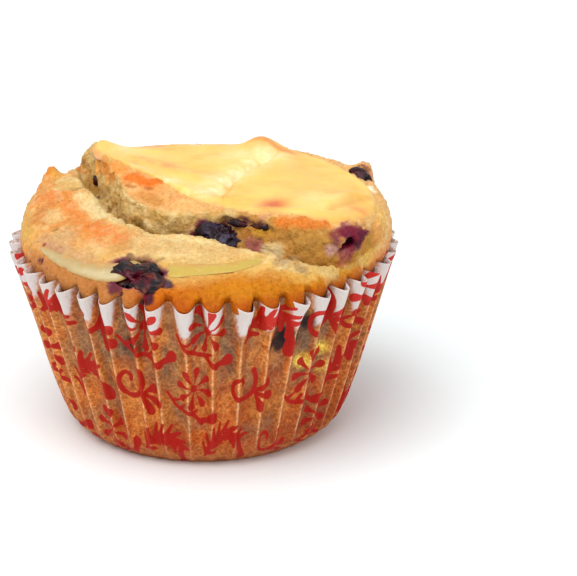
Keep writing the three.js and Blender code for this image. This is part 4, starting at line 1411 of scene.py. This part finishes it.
def make_berry(name, shape, seed):
    """A baked berry: wrinkled skin, sunk in where it has burst."""
    middle, radii, turn = shape
    shift, growth = BERRY_FITS.get(name, ((0, 0, 0), (0, 0, 0)))
    middle, radii = np.add(middle, shift), np.add(radii, growth)
    wrinkle, swelling, depth, facing, bloom, flesh = BERRY_LOOKS[name]
    ball, faces = unit_ball(BERRY_DETAIL)
    points = ball * radii
    points[:, :2] = np.transpose(turned(points[:, 0], points[:, 1], -math.radians(turn)))
    x, y, z = points.T
    normal = points / radii**2
    normal /= np.linalg.norm(normal, axis=1, keepdims=True)
    warp = fractal(x, y, z, *WARP, seed)
    crease = fractal(x + WARP_REACH * warp, y, z + WARP_REACH * warp, *CREASE, seed + 5)
    crease = 1 - np.clip(np.abs(crease) * CREASE_SHARPNESS, 0, 1)
    towards = normal @ (np.array(facing) / np.linalg.norm(facing))
    burst = smoothstep(*OPEN_EDGE, towards + OPEN_WARP * warp)
    lump = fractal(x, y, z, *LUMP, seed + 9)
    knobs = (0.5 - cells(x, y, z, KNOB_SIZE, seed + 31)) * smoothstep(*KNOBS_FROM, x)
    move = wrinkle * (LUMP_SHARE * lump - crease**2) + KNOB_HEIGHT.get(name, 0) * knobs
    move = move + swelling * (fractal(x, y, z, *SWELL, seed + 21) - 0.1)
    move = move - depth * min(radii) * burst * (1 + HOLLOW_LUMP * lump)
    move = move + BROW_SHARE * wrinkle * bell(burst - BROW_AT, BROW_SIZE)
    dusty = fractal(x, y, z, *BLOOM, seed + 13)
    points = points + normal * move[:, None] + middle
    if name in BERRY_SHOW:
        points = settled(points, middle, BERRY_SHOW[name])
    if name in SIDE_BERRIES:
        limit = wall_radius(points[:, 2]) + SIDE_BERRY_SHOW
        points[:, :2] *= np.minimum(1, limit / np.hypot(points[:, 0], points[:, 1]))[:, None]
    colour = painted(
        plain(BERRY_SKIN, crease),
        (BERRY_BLOOM, bloom * smoothstep(-0.1, 0.7, dusty)),
        (BERRY_FLESH, flesh * smoothstep(0.2, 0.8, burst)),
        (BERRY_GLOW, 0.4 * flesh * smoothstep(0.5, 1.0, lump + 0.2)),
        # painted shade in the creases
        (BERRY_CREASE_SHADE, smoothstep(0.35, 0.95, crease)),
    )
    make_piece("fruit_" + name, points, faces, berry_material(), [name], {"tint": colour})


# ------------------------------------------------------------------ paper case

CASE_COLUMNS_PER_FLUTE = 18
CASE_WALL_ROWS, CASE_FINE_ROWS = 100, 600
CASE_BASE_RINGS = 4
CASE_INSIDE_STEP = 8
CRINKLE, CRINKLE_SEED = 0.22, 227  # how far the paper's waves go in and out
SWAY, SWAY_SEED = 0.55, 229  # degrees that the ridges stray sideways
CURL_TURN = 1.2  # degrees that a curled tip turns
RIDGE_LIFT, VALLEY_UNEVENNESS = 0.3, 0.25  # how uneven the rim's height is

PAPER_DRY = (216, 204, 199)
PAPER_PINK = (206, 146, 122)
PAPER_SOAKED = (166, 94, 38)
PAPER_DEEP = (178, 76, 6)
PAPER_GREY = (116, 92, 70)
# pale streaks of the paper, and painted light on its left side, which faces the lamp
PAPER_PALE_AND_LIT = (214, 138, 70)
PAPER_LOW = (170, 62, 6)
PAPER_FOOT = (182, 106, 48)
PAPER_GOLD = (212, 132, 58)
PAPER_UMBER = (142, 54, 14)
# painted highlight along the crest of each pleat's fold
PAPER_FOLD_HIGHLIGHT = (230, 172, 124)
PAPER_SHADOW = (26, 8, 14)
PAPER_YELLOW = (228, 190, 76)

SHOW_THROUGH = [  # degrees from the front, height, width, strength: berries behind the paper
    (-23.2, 34.0, 3.8, 0.85),
    (28.6, 36.6, 5.0, 1.0),
    (25.4, 34.6, 3.8, 0.95),
    (35.2, 39.0, 3.4, 0.95),
    (-9.0, 32.5, 3.2, 0.3),
]
YELLOW_THROUGH = [
    (34.6, 28.4, 3.2, 0.9), (38.6, 28.0, 3.0, 0.9), (43.4, 29.6, 3.2, 0.9), (46.0, 24.6, 2.6, 0.6),
]
SHADOW_CORE, YELLOW_CORE = 0.35, 0.3  # share of the width that shows in full
DEGREE_WIDTH = 0.75  # millimetres of paper for a degree
PAPER_BROAD, PAPER_STREAK, PAPER_COOL = (7.0, 3, 301), (1.8, 3, 307), (5.0, 3, 311)
TONGUE, TONGUE_UNEVENNESS, TONGUE_SEED = 6.6, 1.2, 233  # how far down the dry tongues reach
TONGUE_HALF, TONGUE_TAPER = 0.33, 0.55


def case_rows():
    """Radius, height, flute depth and distance up the slope for each row of the wall."""
    rows = np.array([CASE_RADIUS, CASE_HEIGHT, CASE_FLUTE]).T
    run = catmull_rom(rows, CASE_FINE_ROWS)
    slant = np.concatenate([[0], np.cumsum(np.hypot(*np.diff(run[:, :2], axis=0).T))])
    even = np.linspace(0, slant[-1], CASE_WALL_ROWS)
    columns = [np.interp(even, slant, run[:, k]) for k in range(3)]
    return (*columns, even)


def case_shell():
    """Outer points of the wall by row and column, with the facts that its colours need."""
    radius, height, depth, slant = case_rows()
    column = np.arange(FLUTES * CASE_COLUMNS_PER_FLUTE)
    number = column // CASE_COLUMNS_PER_FLUTE
    across = (column % CASE_COLUMNS_PER_FLUTE) / CASE_COLUMNS_PER_FLUTE
    angle = RIDGES[number] + across * (RIDGES[number + 1] - RIDGES[number])
    up = (slant / slant[-1])[:, None]
    near_rim = smoothstep(*NEAR_RIM, up)
    out, valley = pleat(number, across, radius[:, None], depth[:, None], up)
    wave = CRINKLE * value_noise(angle * 9, up * 5, 0 * angle * up, CRINKLE_SEED)
    out = out + wave * up * (1 - near_rim)
    nearest = nearest_ridge(number, across)
    sway = value_noise(nearest * 3.7 + 0 * up, up * 3.0, 0 * up * across, SWAY_SEED)
    curl = CURL_TURN * curl_at(number, across) * near_rim**2
    turn = angle + np.radians(SWAY * sway * up + curl) * (1 - valley)
    lift = VALLEY_LIFT + VALLEY_UNEVENNESS * flute_random(number, VALLEY_SEED)
    lift = mix(RIDGE_LIFT * flute_random(nearest, RIDGE_SEED), lift, valley)
    z = height[:, None] + lift * near_rim
    return {
        "out": out, "turn": turn, "z": z, "valley": valley, "across": across + 0 * up,
        "angle": angle + 0 * up, "slant": slant[:, None] + 0 * angle, "up": up + 0 * angle,
        "number": number, "nearest": nearest,
    }


def seen_through(around, z, streak, places, core):
    """How strongly what lies behind the paper shows, from 0 to 1."""
    shown = 0.0
    for degrees, height, width, strength in places:
        gap = np.hypot((around - degrees) * DEGREE_WIDTH, z - height)
        shown = np.maximum(shown, strength * smoothstep(width, width * core, gap + 0.8 * streak))
    return shown


def case_colours(shell):
    """The tint of the outer wall: dry tongues at the rim, soaked paper below."""
    around = from_front(shell["angle"])
    x, y = shell["out"] * np.cos(shell["turn"]), shell["out"] * np.sin(shell["turn"])
    z, valley, up = shell["z"], shell["valley"], shell["up"]
    to_ridge = np.minimum(shell["across"], 1 - shell["across"])
    broad, streak = (fractal(x, y, 0.5 * z, *noise) for noise in (PAPER_BROAD, PAPER_STREAK))
    cool = fractal(x, y, 0.6 * z, *PAPER_COOL)
    grey = smoothstep(0.3, 0.9, valley) * smoothstep(16, 34, z) * smoothstep(60, 40, np.abs(around))
    shadow = seen_through(around, z, streak, SHOW_THROUGH, SHADOW_CORE)
    tongue = TONGUE + TONGUE_UNEVENNESS * flute_random(shell["nearest"], TONGUE_SEED)
    below = shell["slant"][-1] - shell["slant"]
    taper = TONGUE_TAPER * np.clip(below / tongue, 0, 1) ** 1.5
    beside, past = to_ridge - TONGUE_HALF * (1 - taper), below - tongue
    dry = smoothstep(0.03, -0.03, beside) * smoothstep(0.7, -0.3, past + 0.5 * streak)
    crest = bell(to_ridge, 0.17) * smoothstep(0.1, 0.4, up) * (1 - dry)
    # painted highlight along the ridge of each fold
    ridge_highlight = bell(to_ridge, 0.035) * smoothstep(0.05, 0.3, up) * (1 - dry)
    colour = painted(
        plain(PAPER_SOAKED, x),
        (PAPER_DEEP, 0.45 + 1.4 * broad),
        (PAPER_GREY, grey * (0.75 + 0.5 * streak)),
        (PAPER_GREY, 0.6 * smoothstep(0.0, 0.7, cool)),
        (PAPER_GOLD, 0.6 * smoothstep(0.1, 0.8, -cool)),
        (PAPER_PALE_AND_LIT, 0.35 * smoothstep(0.1, 0.9, streak)),
        # painted light on the left side where the lamp falls, and paler patches from the broad noise
        (PAPER_PALE_AND_LIT, 0.4 * smoothstep(-30, -60, around) + 0.25 * smoothstep(0.2, 0.9, broad)),
        (PAPER_LOW, 0.75 * smoothstep(14, 2, z + 3 * broad) * smoothstep(-70, -30, around)),
        (PAPER_UMBER, 0.5 * smoothstep(26, 8, z) * smoothstep(20, 50, around)),
        (PAPER_FOOT, 0.85 * smoothstep(8, 3, z + 2 * streak)),
        (PAPER_YELLOW, seen_through(around, z, streak, YELLOW_THROUGH, YELLOW_CORE)),
        (PAPER_SHADOW, shadow),
        (PAPER_PINK, 0.8 * smoothstep(0.06, -0.02, beside) * smoothstep(2.4, 0, past)),
        (PAPER_DRY, dry),
        (PAPER_GOLD, 0.3 * crest * (1 - shadow)),
        (PAPER_FOLD_HIGHLIGHT, 0.75 * ridge_highlight),
    )
    return colour, dry


# ------------------------------------------------------------------ print on the paper

PRINT_SEED = 5
PRINT_WIDTH = 62.0  # millimetres of print for a radian of the wall
PRINT_ROWS = [(9.5, 16, 0.3), (26.5, 17, 0.8), (43.0, 19, 0.15)]  # slant height, motifs, offset
PRINT_REACH = 16.0  # farther from its middle than a motif goes
PRINT_FAR = 9.0  # the distance that plain paper is given
PRINT_SHIFT, PRINT_RISE, PRINT_TILT, PRINT_SIZES = 0.12, 1.6, 0.5, (1.12, 1.32)
PRINT_SQUEEZE = (0.15, 0.35)  # how the pleats squeeze the print, on the wall and at the rim


def joined(*shapes):
    """Distance outside several shapes."""
    return functools.reduce(np.minimum, shapes)


def stroke(x, y, path, thick, thin):
    """Distance outside a brush stroke that tapers from thick to thin."""
    best = np.full(x.shape, FAR)
    count = len(path) - 1
    for k in range(count):
        distance, along = segment_nearest(x, y, path[k], path[k + 1])
        best = np.minimum(best, distance - 0.5 * mix(thick, thin, (k + along) / count))
    return best


def drop(x, y, at, direction, length, width):
    """Distance outside a solid drop, thin where it starts and round at its end."""
    along, across = turned(x - at[0], y - at[1], direction)
    share = np.clip(along / length, 0, 1)
    return np.hypot(along - share * length, across) - 0.5 * width * (0.2 + 0.8 * share**1.5)


def bars(x, y, path, first, step, turn, length, width):
    """Distance outside short strokes that leave a line at an angle."""
    shape = np.full(x.shape, FAR)
    for k in range(first, len(path) - 1, step):
        (at_x, at_y), (to_x, to_y) = path[k], path[k + 1]
        lean = math.atan2(to_y - at_y, to_x - at_x) + turn
        tip = (at_x + length * math.cos(lean), at_y + length * math.sin(lean))
        shape = np.minimum(shape, stroke(x, y, [(at_x, at_y), tip], width, 0.6 * width))
    return shape


def ear(x, y):
    """A bent ear of grain whose stem ends in a drop."""
    stem = catmull_rom([(-7, -4.5), (-3.5, 0.5), (1.5, 2.2), (6, -0.5)], 16)
    grains = [bars(x, y, stem, 1, 2, side * 0.9, 3.2, 1.5) for side in (-1, 1)]
    end = drop(x, y, (6, -0.5), math.radians(-78), 5.5, 3.4)
    return joined(stroke(x, y, stem, 1.1, 0.8), end, *grains)


def scroll(x, y):
    """A spiral with three leaves at its open end."""
    turns = [(0.6 + 0.52 * t, 0.8 * t) for t in np.linspace(0, 8.6, 30)]
    path = [(r * math.cos(a) - 1, r * math.sin(a)) for r, a in turns]
    leaves = [
        drop(x, y, (3.0, -2.6), math.radians(degrees), length, 2.6)
        for degrees, length in ((-62, 4.6), (-22, 5.4), (18, 4.4))
    ]
    return joined(stroke(x, y, path, 0.9, 1.5), *leaves)


def blossom(x, y):
    """A daisy on a bent stem with a bud."""
    petals = []
    for k in range(8):
        turn = TURN * (k + 0.3) / 8
        at = (1.3 * math.cos(turn), 1.5 + 1.3 * math.sin(turn))
        petals.append(drop(x, y, at, turn, 3.4, 2.0))
    stem = catmull_rom([(-7.5, -3.6), (-3, -5.6), (2, -4.8), (6.2, -5.8)], 12)
    twigs = bars(x, y, stem, 2, 3, 1.0, 2.2, 1.1)
    bud = drop(x, y, (6.2, -5.8), math.radians(50), 4.2, 3.0)
    return joined(np.hypot(x, y - 1.5) - 1.0, *petals, stroke(x, y, stem, 0.9, 1.3), twigs, bud)


MOTIFS = [ear, scroll, blossom]


def print_distance(shell):
    """Distance outside the printed motifs, in millimetres, over the opened-out paper."""
    across, number = shell["across"], shell["number"]
    squeeze = mix(*PRINT_SQUEEZE, smoothstep(0.5, 1.0, shell["up"]))
    even = across - squeeze / (2 * TURN) * np.sin(2 * TURN * across)
    angle = RIDGES[number] + even * (RIDGES[number + 1] - RIDGES[number])
    along, whole = (angle - FRONT) * PRINT_WIDTH, TURN * PRINT_WIDTH
    far = np.full(along.shape, PRINT_FAR)
    rng = np.random.default_rng(PRINT_SEED)
    for row, (height, count, offset) in enumerate(PRINT_ROWS):
        for k in range(count):
            at = (k + offset + rng.uniform(-PRINT_SHIFT, PRINT_SHIFT)) * whole / count
            rise = height + rng.uniform(-PRINT_RISE, PRINT_RISE)
            tilt = rng.uniform(-PRINT_TILT, PRINT_TILT)
            size = rng.uniform(*PRINT_SIZES)
            dx, dy = (along - at + whole / 2) % whole - whole / 2, shell["slant"] - rise
            near = (np.abs(dx) < PRINT_REACH) & (np.abs(dy) < PRINT_REACH)
            u, v = turned(dx[near], dy[near], tilt)
            shape = MOTIFS[(k + row) % len(MOTIFS)](u / size, v / size) * size
            far[near] = np.minimum(far[near], shape)
    return far


def ring_points(radius, angle, height):
    rings = [radius * np.cos(angle), radius * np.sin(angle), height + 0 * radius]
    return np.stack(rings, -1).reshape(-1, 3)


def make_case():
    shell = case_shell()
    colour, dry = case_colours(shell)
    out, turn, z = shell["out"], shell["turn"], shell["z"]
    share = np.linspace(0, 1, CASE_BASE_RINGS + 2)[1:-1, None]
    inside = np.arange(CASE_WALL_ROWS - 1, -1, -CASE_INSIDE_STEP)
    base = ring_points(share * out[0], turn[0], 0.0)
    outer = ring_points(out, turn, z)
    inner = ring_points(out[inside] - PAPER, turn[inside], np.maximum(z[inside], PAPER))
    lid = ring_points(share[::-1] * (out[0] - PAPER), turn[0], PAPER)
    points = np.concatenate([base, outer, inner, lid, [[0, 0, 0], [0, 0, PAPER]]])
    columns = out.shape[1]
    wall = slice(len(base), len(base) + len(outer))
    lining = slice(wall.stop, wall.stop + len(inner))
    tint = np.array(plain(PAPER_DEEP, points[:, 0]))
    tint[: len(base)] = srgb(*PAPER_LOW)
    tint[wall], tint[lining] = colour.reshape(-1, 3), colour[inside].reshape(-1, 3)
    ink, dryness = np.full(len(points), PRINT_FAR), np.zeros(len(points))
    ink[wall], dryness[wall] = print_distance(shell).ravel(), dry.ravel()
    make_piece(
        "pleated_case", points, closed_rings(len(points) // columns, columns), paper_material(),
        ["paper_case"], {"tint": tint}, {"ink": ink, "dry": dryness},
    )


# ------------------------------------------------------------------ materials


class Shader:
    """A small helper that adds nodes to one new material."""

    def __init__(self, name):
        self.material = bpy.data.materials.new(name)
        self.material.use_nodes = True
        self.tree = self.material.node_tree
        self.tree.nodes.clear()
        output = self.add("ShaderNodeOutputMaterial")
        self.surface = self.add("ShaderNodeBsdfPrincipled")
        self.link(self.surface.outputs["BSDF"], output.inputs["Surface"])
        self.place = self.add("ShaderNodeTexCoord").outputs["Object"]

    def add(self, kind):
        return self.tree.nodes.new(kind)

    def link(self, source, target):
        self.tree.links.new(source, target)

    def set(self, **sockets):
        for name, value in sockets.items():
            self.surface.inputs[name.replace("_", " ")].default_value = value

    def attribute(self, name):
        node = self.add("ShaderNodeAttribute")
        node.attribute_name = name
        return node

    def noise(self, size, detail=3, roughness=0.55, squeeze=(1, 1, 1)):
        """Noise whose bumps are size millimetres across."""
        mapping = self.add("ShaderNodeMapping")
        mapping.inputs["Scale"].default_value = squeeze
        self.link(self.place, mapping.inputs["Vector"])
        node = self.add("ShaderNodeTexNoise")
        node.inputs["Scale"].default_value = 1 / (size * MM)
        node.inputs["Detail"].default_value = detail
        node.inputs["Roughness"].default_value = roughness
        self.link(mapping.outputs["Vector"], node.inputs["Vector"])
        return node.outputs["Fac"]

    def pores(self, size):
        """Distance to scattered points that lie size millimetres apart."""
        node = self.add("ShaderNodeTexVoronoi")
        node.inputs["Scale"].default_value = 1 / (size * MM)
        self.link(self.place, node.inputs["Vector"])
        return node.outputs["Distance"]

    def remap(self, value, low, high, out_low=0.0, out_high=1.0):
        node = self.add("ShaderNodeMapRange")
        node.interpolation_type = "SMOOTHSTEP"
        node.inputs["From Min"].default_value = low
        node.inputs["From Max"].default_value = high
        node.inputs["To Min"].default_value = out_low
        node.inputs["To Max"].default_value = out_high
        self.link(value, node.inputs["Value"])
        return node.outputs["Result"]

    def math(self, operation, a, b):
        node = self.add("ShaderNodeMath")
        node.operation = operation
        for socket, value in zip(node.inputs, (a, b)):
            if isinstance(value, (int, float)):
                socket.default_value = value
            else:
                self.link(value, socket)
        return node.outputs["Value"]

    def blend(self, factor, a, b, mode="MIX"):
        node = self.add("ShaderNodeMix")
        node.data_type = "RGBA"
        node.blend_type = mode
        sockets = [node.inputs[0], node.inputs[6], node.inputs[7]]
        for socket, value in zip(sockets, (factor, a, b)):
            if isinstance(value, tuple):
                socket.default_value = (*srgb(*value), 1)
            elif isinstance(value, (int, float)):
                socket.default_value = value
            else:
                self.link(value, socket)
        return node.outputs[2]

    def bump(self, height, strength, distance):
        node = self.add("ShaderNodeBump")
        node.inputs["Strength"].default_value = strength
        node.inputs["Distance"].default_value = distance * MM
        self.link(height, node.inputs["Height"])
        self.link(node.outputs["Normal"], self.surface.inputs["Normal"])

    def colour(self, socket):
        self.link(socket, self.surface.inputs["Base Color"])

    def roughness(self, socket):
        self.link(socket, self.surface.inputs["Roughness"])


def crumb_material():
    shader = Shader("baked_crumb")
    tint = shader.attribute("tint").outputs["Color"]
    torn = shader.attribute("torn").outputs["Fac"]
    stain = shader.attribute("stain").outputs["Fac"]
    fine = shader.noise(0.9, 4, 0.6)
    coarse = shader.noise(3.2, 3, 0.55)
    colour = shader.blend(shader.remap(fine, 0.55, 0.3, 0.0, 0.5), tint, (232, 204, 168), "MULTIPLY")
    # painted highlights on the peaks of the fine grain
    colour = shader.blend(shader.remap(fine, 0.5, 0.8, 0.0, 1.0), colour, (276, 280, 290), "MULTIPLY")
    colour = shader.blend(shader.remap(coarse, 0.5, 0.8, 0.0, 0.3), colour, (240, 196, 140), "MULTIPLY")
    # painted shade in the pores
    pore_shade = shader.remap(shader.pores(1.5), 0.2, 0.06, 0.0, 0.5)
    colour = shader.blend(pore_shade, colour, (206, 150, 96), "MULTIPLY")
    shader.colour(colour)
    damp = shader.math("MULTIPLY", stain, 0.25)
    shader.roughness(shader.math("SUBTRACT", shader.remap(torn, 0, 1, 0.4, 0.55), damp))
    grain = shader.math("MULTIPLY", shader.noise(0.55, 4, 0.65), shader.remap(torn, 0, 1, 0.5, 1.1))
    dimple = shader.remap(shader.pores(1.1), 0.0, 0.35)
    shader.bump(shader.math("ADD", grain, shader.math("MULTIPLY", dimple, 0.5)), 0.85, 0.6)
    shader.set(Subsurface_Weight=0.3, Subsurface_Radius=(1.0, 0.5, 0.2), Subsurface_Scale=0.0014)
    shader.set(Specular_IOR_Level=0.12)
    return shader.material


@functools.cache
def cheesecake_material():
    shader = Shader("baked_cheesecake")
    tint = shader.attribute("tint").outputs["Color"]
    soft = shader.noise(5.5, 3, 0.5)
    fine = shader.noise(1.1, 3, 0.55)
    colour = shader.blend(shader.remap(soft, 0.5, 0.75, 0.0, 0.3), tint, (250, 216, 160), "MULTIPLY")
    colour = shader.blend(shader.remap(fine, 0.5, 0.8, 0.0, 0.15), colour, (250, 230, 170))
    shader.colour(colour)
    shader.roughness(shader.remap(soft, 0.3, 0.7, 0.34, 0.5))
    shader.bump(shader.math("ADD", shader.noise(2.4, 3, 0.5), shader.math("MULTIPLY", fine, 0.3)), 0.25, 0.3)
    shader.set(Subsurface_Weight=0.35, Subsurface_Radius=(1.0, 0.7, 0.4), Subsurface_Scale=0.002)
    shader.set(Specular_IOR_Level=0.45)
    return shader.material


@functools.cache
def berry_material():
    shader = Shader("baked_berry")
    tint = shader.attribute("tint").outputs["Color"]
    fine = shader.noise(0.7, 4, 0.6)
    colour = shader.blend(shader.remap(fine, 0.45, 0.75, 0.0, 0.08), tint, (84, 44, 66))
    shader.colour(colour)
    shader.roughness(shader.remap(fine, 0.3, 0.7, 0.28, 0.5))
    shader.bump(shader.math("ADD", fine, shader.noise(1.8, 3, 0.6)), 0.5, 0.3)
    shader.set(Coat_Weight=0.14, Coat_Roughness=0.14, Specular_IOR_Level=0.2)
    return shader.material


def paper_material():
    shader = Shader("greaseproof_paper")
    tint = shader.attribute("tint").outputs["Color"]
    ink = shader.attribute("ink").outputs["Fac"]
    dry = shader.attribute("dry").outputs["Fac"]
    fibre = shader.noise(0.8, 5, 0.65, (1, 1, 0.35))
    patch = shader.noise(4.0, 4, 0.6)
    wet = shader.math("SUBTRACT", 1.0, dry)
    # painted glints on the peaks of the fibre
    colour = shader.blend(
        shader.math("MULTIPLY", shader.remap(fibre, 0.48, 0.75), wet), tint, (276, 280, 290), "MULTIPLY"
    )
    colour = shader.blend(
        shader.math("MULTIPLY", shader.remap(patch, 0.5, 0.72, 0.0, 0.6), wet),
        colour, (214, 140, 96), "MULTIPLY"
    )
    curl = shader.math("ABSOLUTE", shader.math("SUBTRACT", shader.noise(1.3, 1, 0.5), 0.5), 0.0)
    # painted glints along the thin curls
    pale_highlight = shader.remap(curl, 0.04, 0.0)
    dark = shader.remap(curl, 0.07, 0.16)
    colour = shader.blend(shader.math("MULTIPLY", dark, wet), colour, (226, 214, 204), "MULTIPLY")
    colour = shader.blend(shader.math("MULTIPLY", pale_highlight, wet), colour, (302, 316, 330), "MULTIPLY")
    ragged = shader.math("ADD", ink, shader.remap(fibre, 0.2, 0.8, -0.1, 0.1))
    edge = shader.remap(ragged, 0.1, -0.1)
    red = shader.blend(dry, (172, 14, 0), (196, 24, 4))
    colour = shader.blend(shader.math("MULTIPLY", edge, 0.97), colour, red)
    shader.colour(colour)
    shader.roughness(shader.remap(dry, 0, 1, 0.4, 0.62))
    height = shader.math("ADD", fibre, shader.math("MULTIPLY", patch, 1.2))
    shader.bump(shader.math("ADD", height, shader.math("MULTIPLY", pale_highlight, 0.5)), 0.5, 0.3)
    shader.set(Specular_IOR_Level=0.14)
    return shader.material


def floor_material():
    shader = Shader("pale_floor")
    speck = shader.noise(400, 2, 0.5)
    shader.colour(shader.blend(shader.remap(speck, 0.3, 0.7, 0.0, 0.2), (244, 250, 251), (240, 247, 249)))
    shader.set(Roughness=0.75, Specular_IOR_Level=0.2)
    return shader.material


# ------------------------------------------------------------------ stage, lights and camera

CAMERA_AIM = (20.6, 0.0, 33.4)
CAMERA_DISTANCE = 900.0
CAMERA_ELEVATION = 21.5
CAMERA_FOCAL_PIXELS = 3672.0
PHOTO_WIDTH = 577.0
SENSOR = 36.0
FLOOR_HALF = 4.0
FLOOR_DROP = 0.05
WORLD_LIGHT = 0.72
LIGHTS = [  # name, place, aim, size in metres, watts
    ("key", (-0.35, -0.5, 1.3), (0, 0, 0.03), 1.2, 15.0),
    ("fill", (0.9, -0.9, 0.55), (0, 0, 0.03), 0.8, 2.0),
]


def make_stage():
    half = FLOOR_HALF
    mesh = bpy.data.meshes.new("floor")
    corners = [(-half, -half), (half, -half), (half, half), (-half, half)]
    mesh.from_pydata([(x, y, -FLOOR_DROP * MM) for x, y in corners], [], [(0, 1, 2, 3)])
    mesh.materials.append(floor_material())
    floor = bpy.data.objects.new("floor", mesh)
    bpy.context.scene.collection.objects.link(floor)
    world = bpy.data.worlds.new("studio")
    world.use_nodes = True
    background = world.node_tree.nodes["Background"]
    background.inputs["Color"].default_value = (1, 1, 1, 1)
    background.inputs["Strength"].default_value = WORLD_LIGHT
    bpy.context.scene.world = world
    bpy.context.scene.view_settings.view_transform = "Standard"


def make_lights():
    for name, place, aim, size, watts in LIGHTS:
        data = bpy.data.lights.new(name, "AREA")
        data.size = size
        data.energy = watts
        light = bpy.data.objects.new(name, data)
        light.location = place
        light.rotation_euler = (Vector(aim) - Vector(place)).to_track_quat("-Z", "Y").to_euler()
        bpy.context.scene.collection.objects.link(light)


def make_camera():
    elevation = math.radians(CAMERA_ELEVATION)
    data = bpy.data.cameras.new("camera")
    data.sensor_width = SENSOR
    data.lens = CAMERA_FOCAL_PIXELS * SENSOR / PHOTO_WIDTH
    camera = bpy.data.objects.new("camera", data)
    aim_x, aim_y, aim_z = CAMERA_AIM
    camera.location = (
        aim_x * MM,
        (aim_y - CAMERA_DISTANCE * math.cos(elevation)) * MM,
        (aim_z + CAMERA_DISTANCE * math.sin(elevation)) * MM,
    )
    camera.rotation_euler = (math.pi / 2 - elevation, 0, 0)
    bpy.context.scene.collection.objects.link(camera)
    bpy.context.scene.camera = camera


# ------------------------------------------------------------------ assembly


def main():
    make_camera()
    make_lights()
    make_stage()
    make_case()
    make_body()
    make_spread()
    make_layer()
    for number, (name, shape) in enumerate({**BERRIES, **SIDE_BERRIES}.items()):
        make_berry(name, shape, BERRY_SEED + BERRY_SEED_STEP * number)


main()
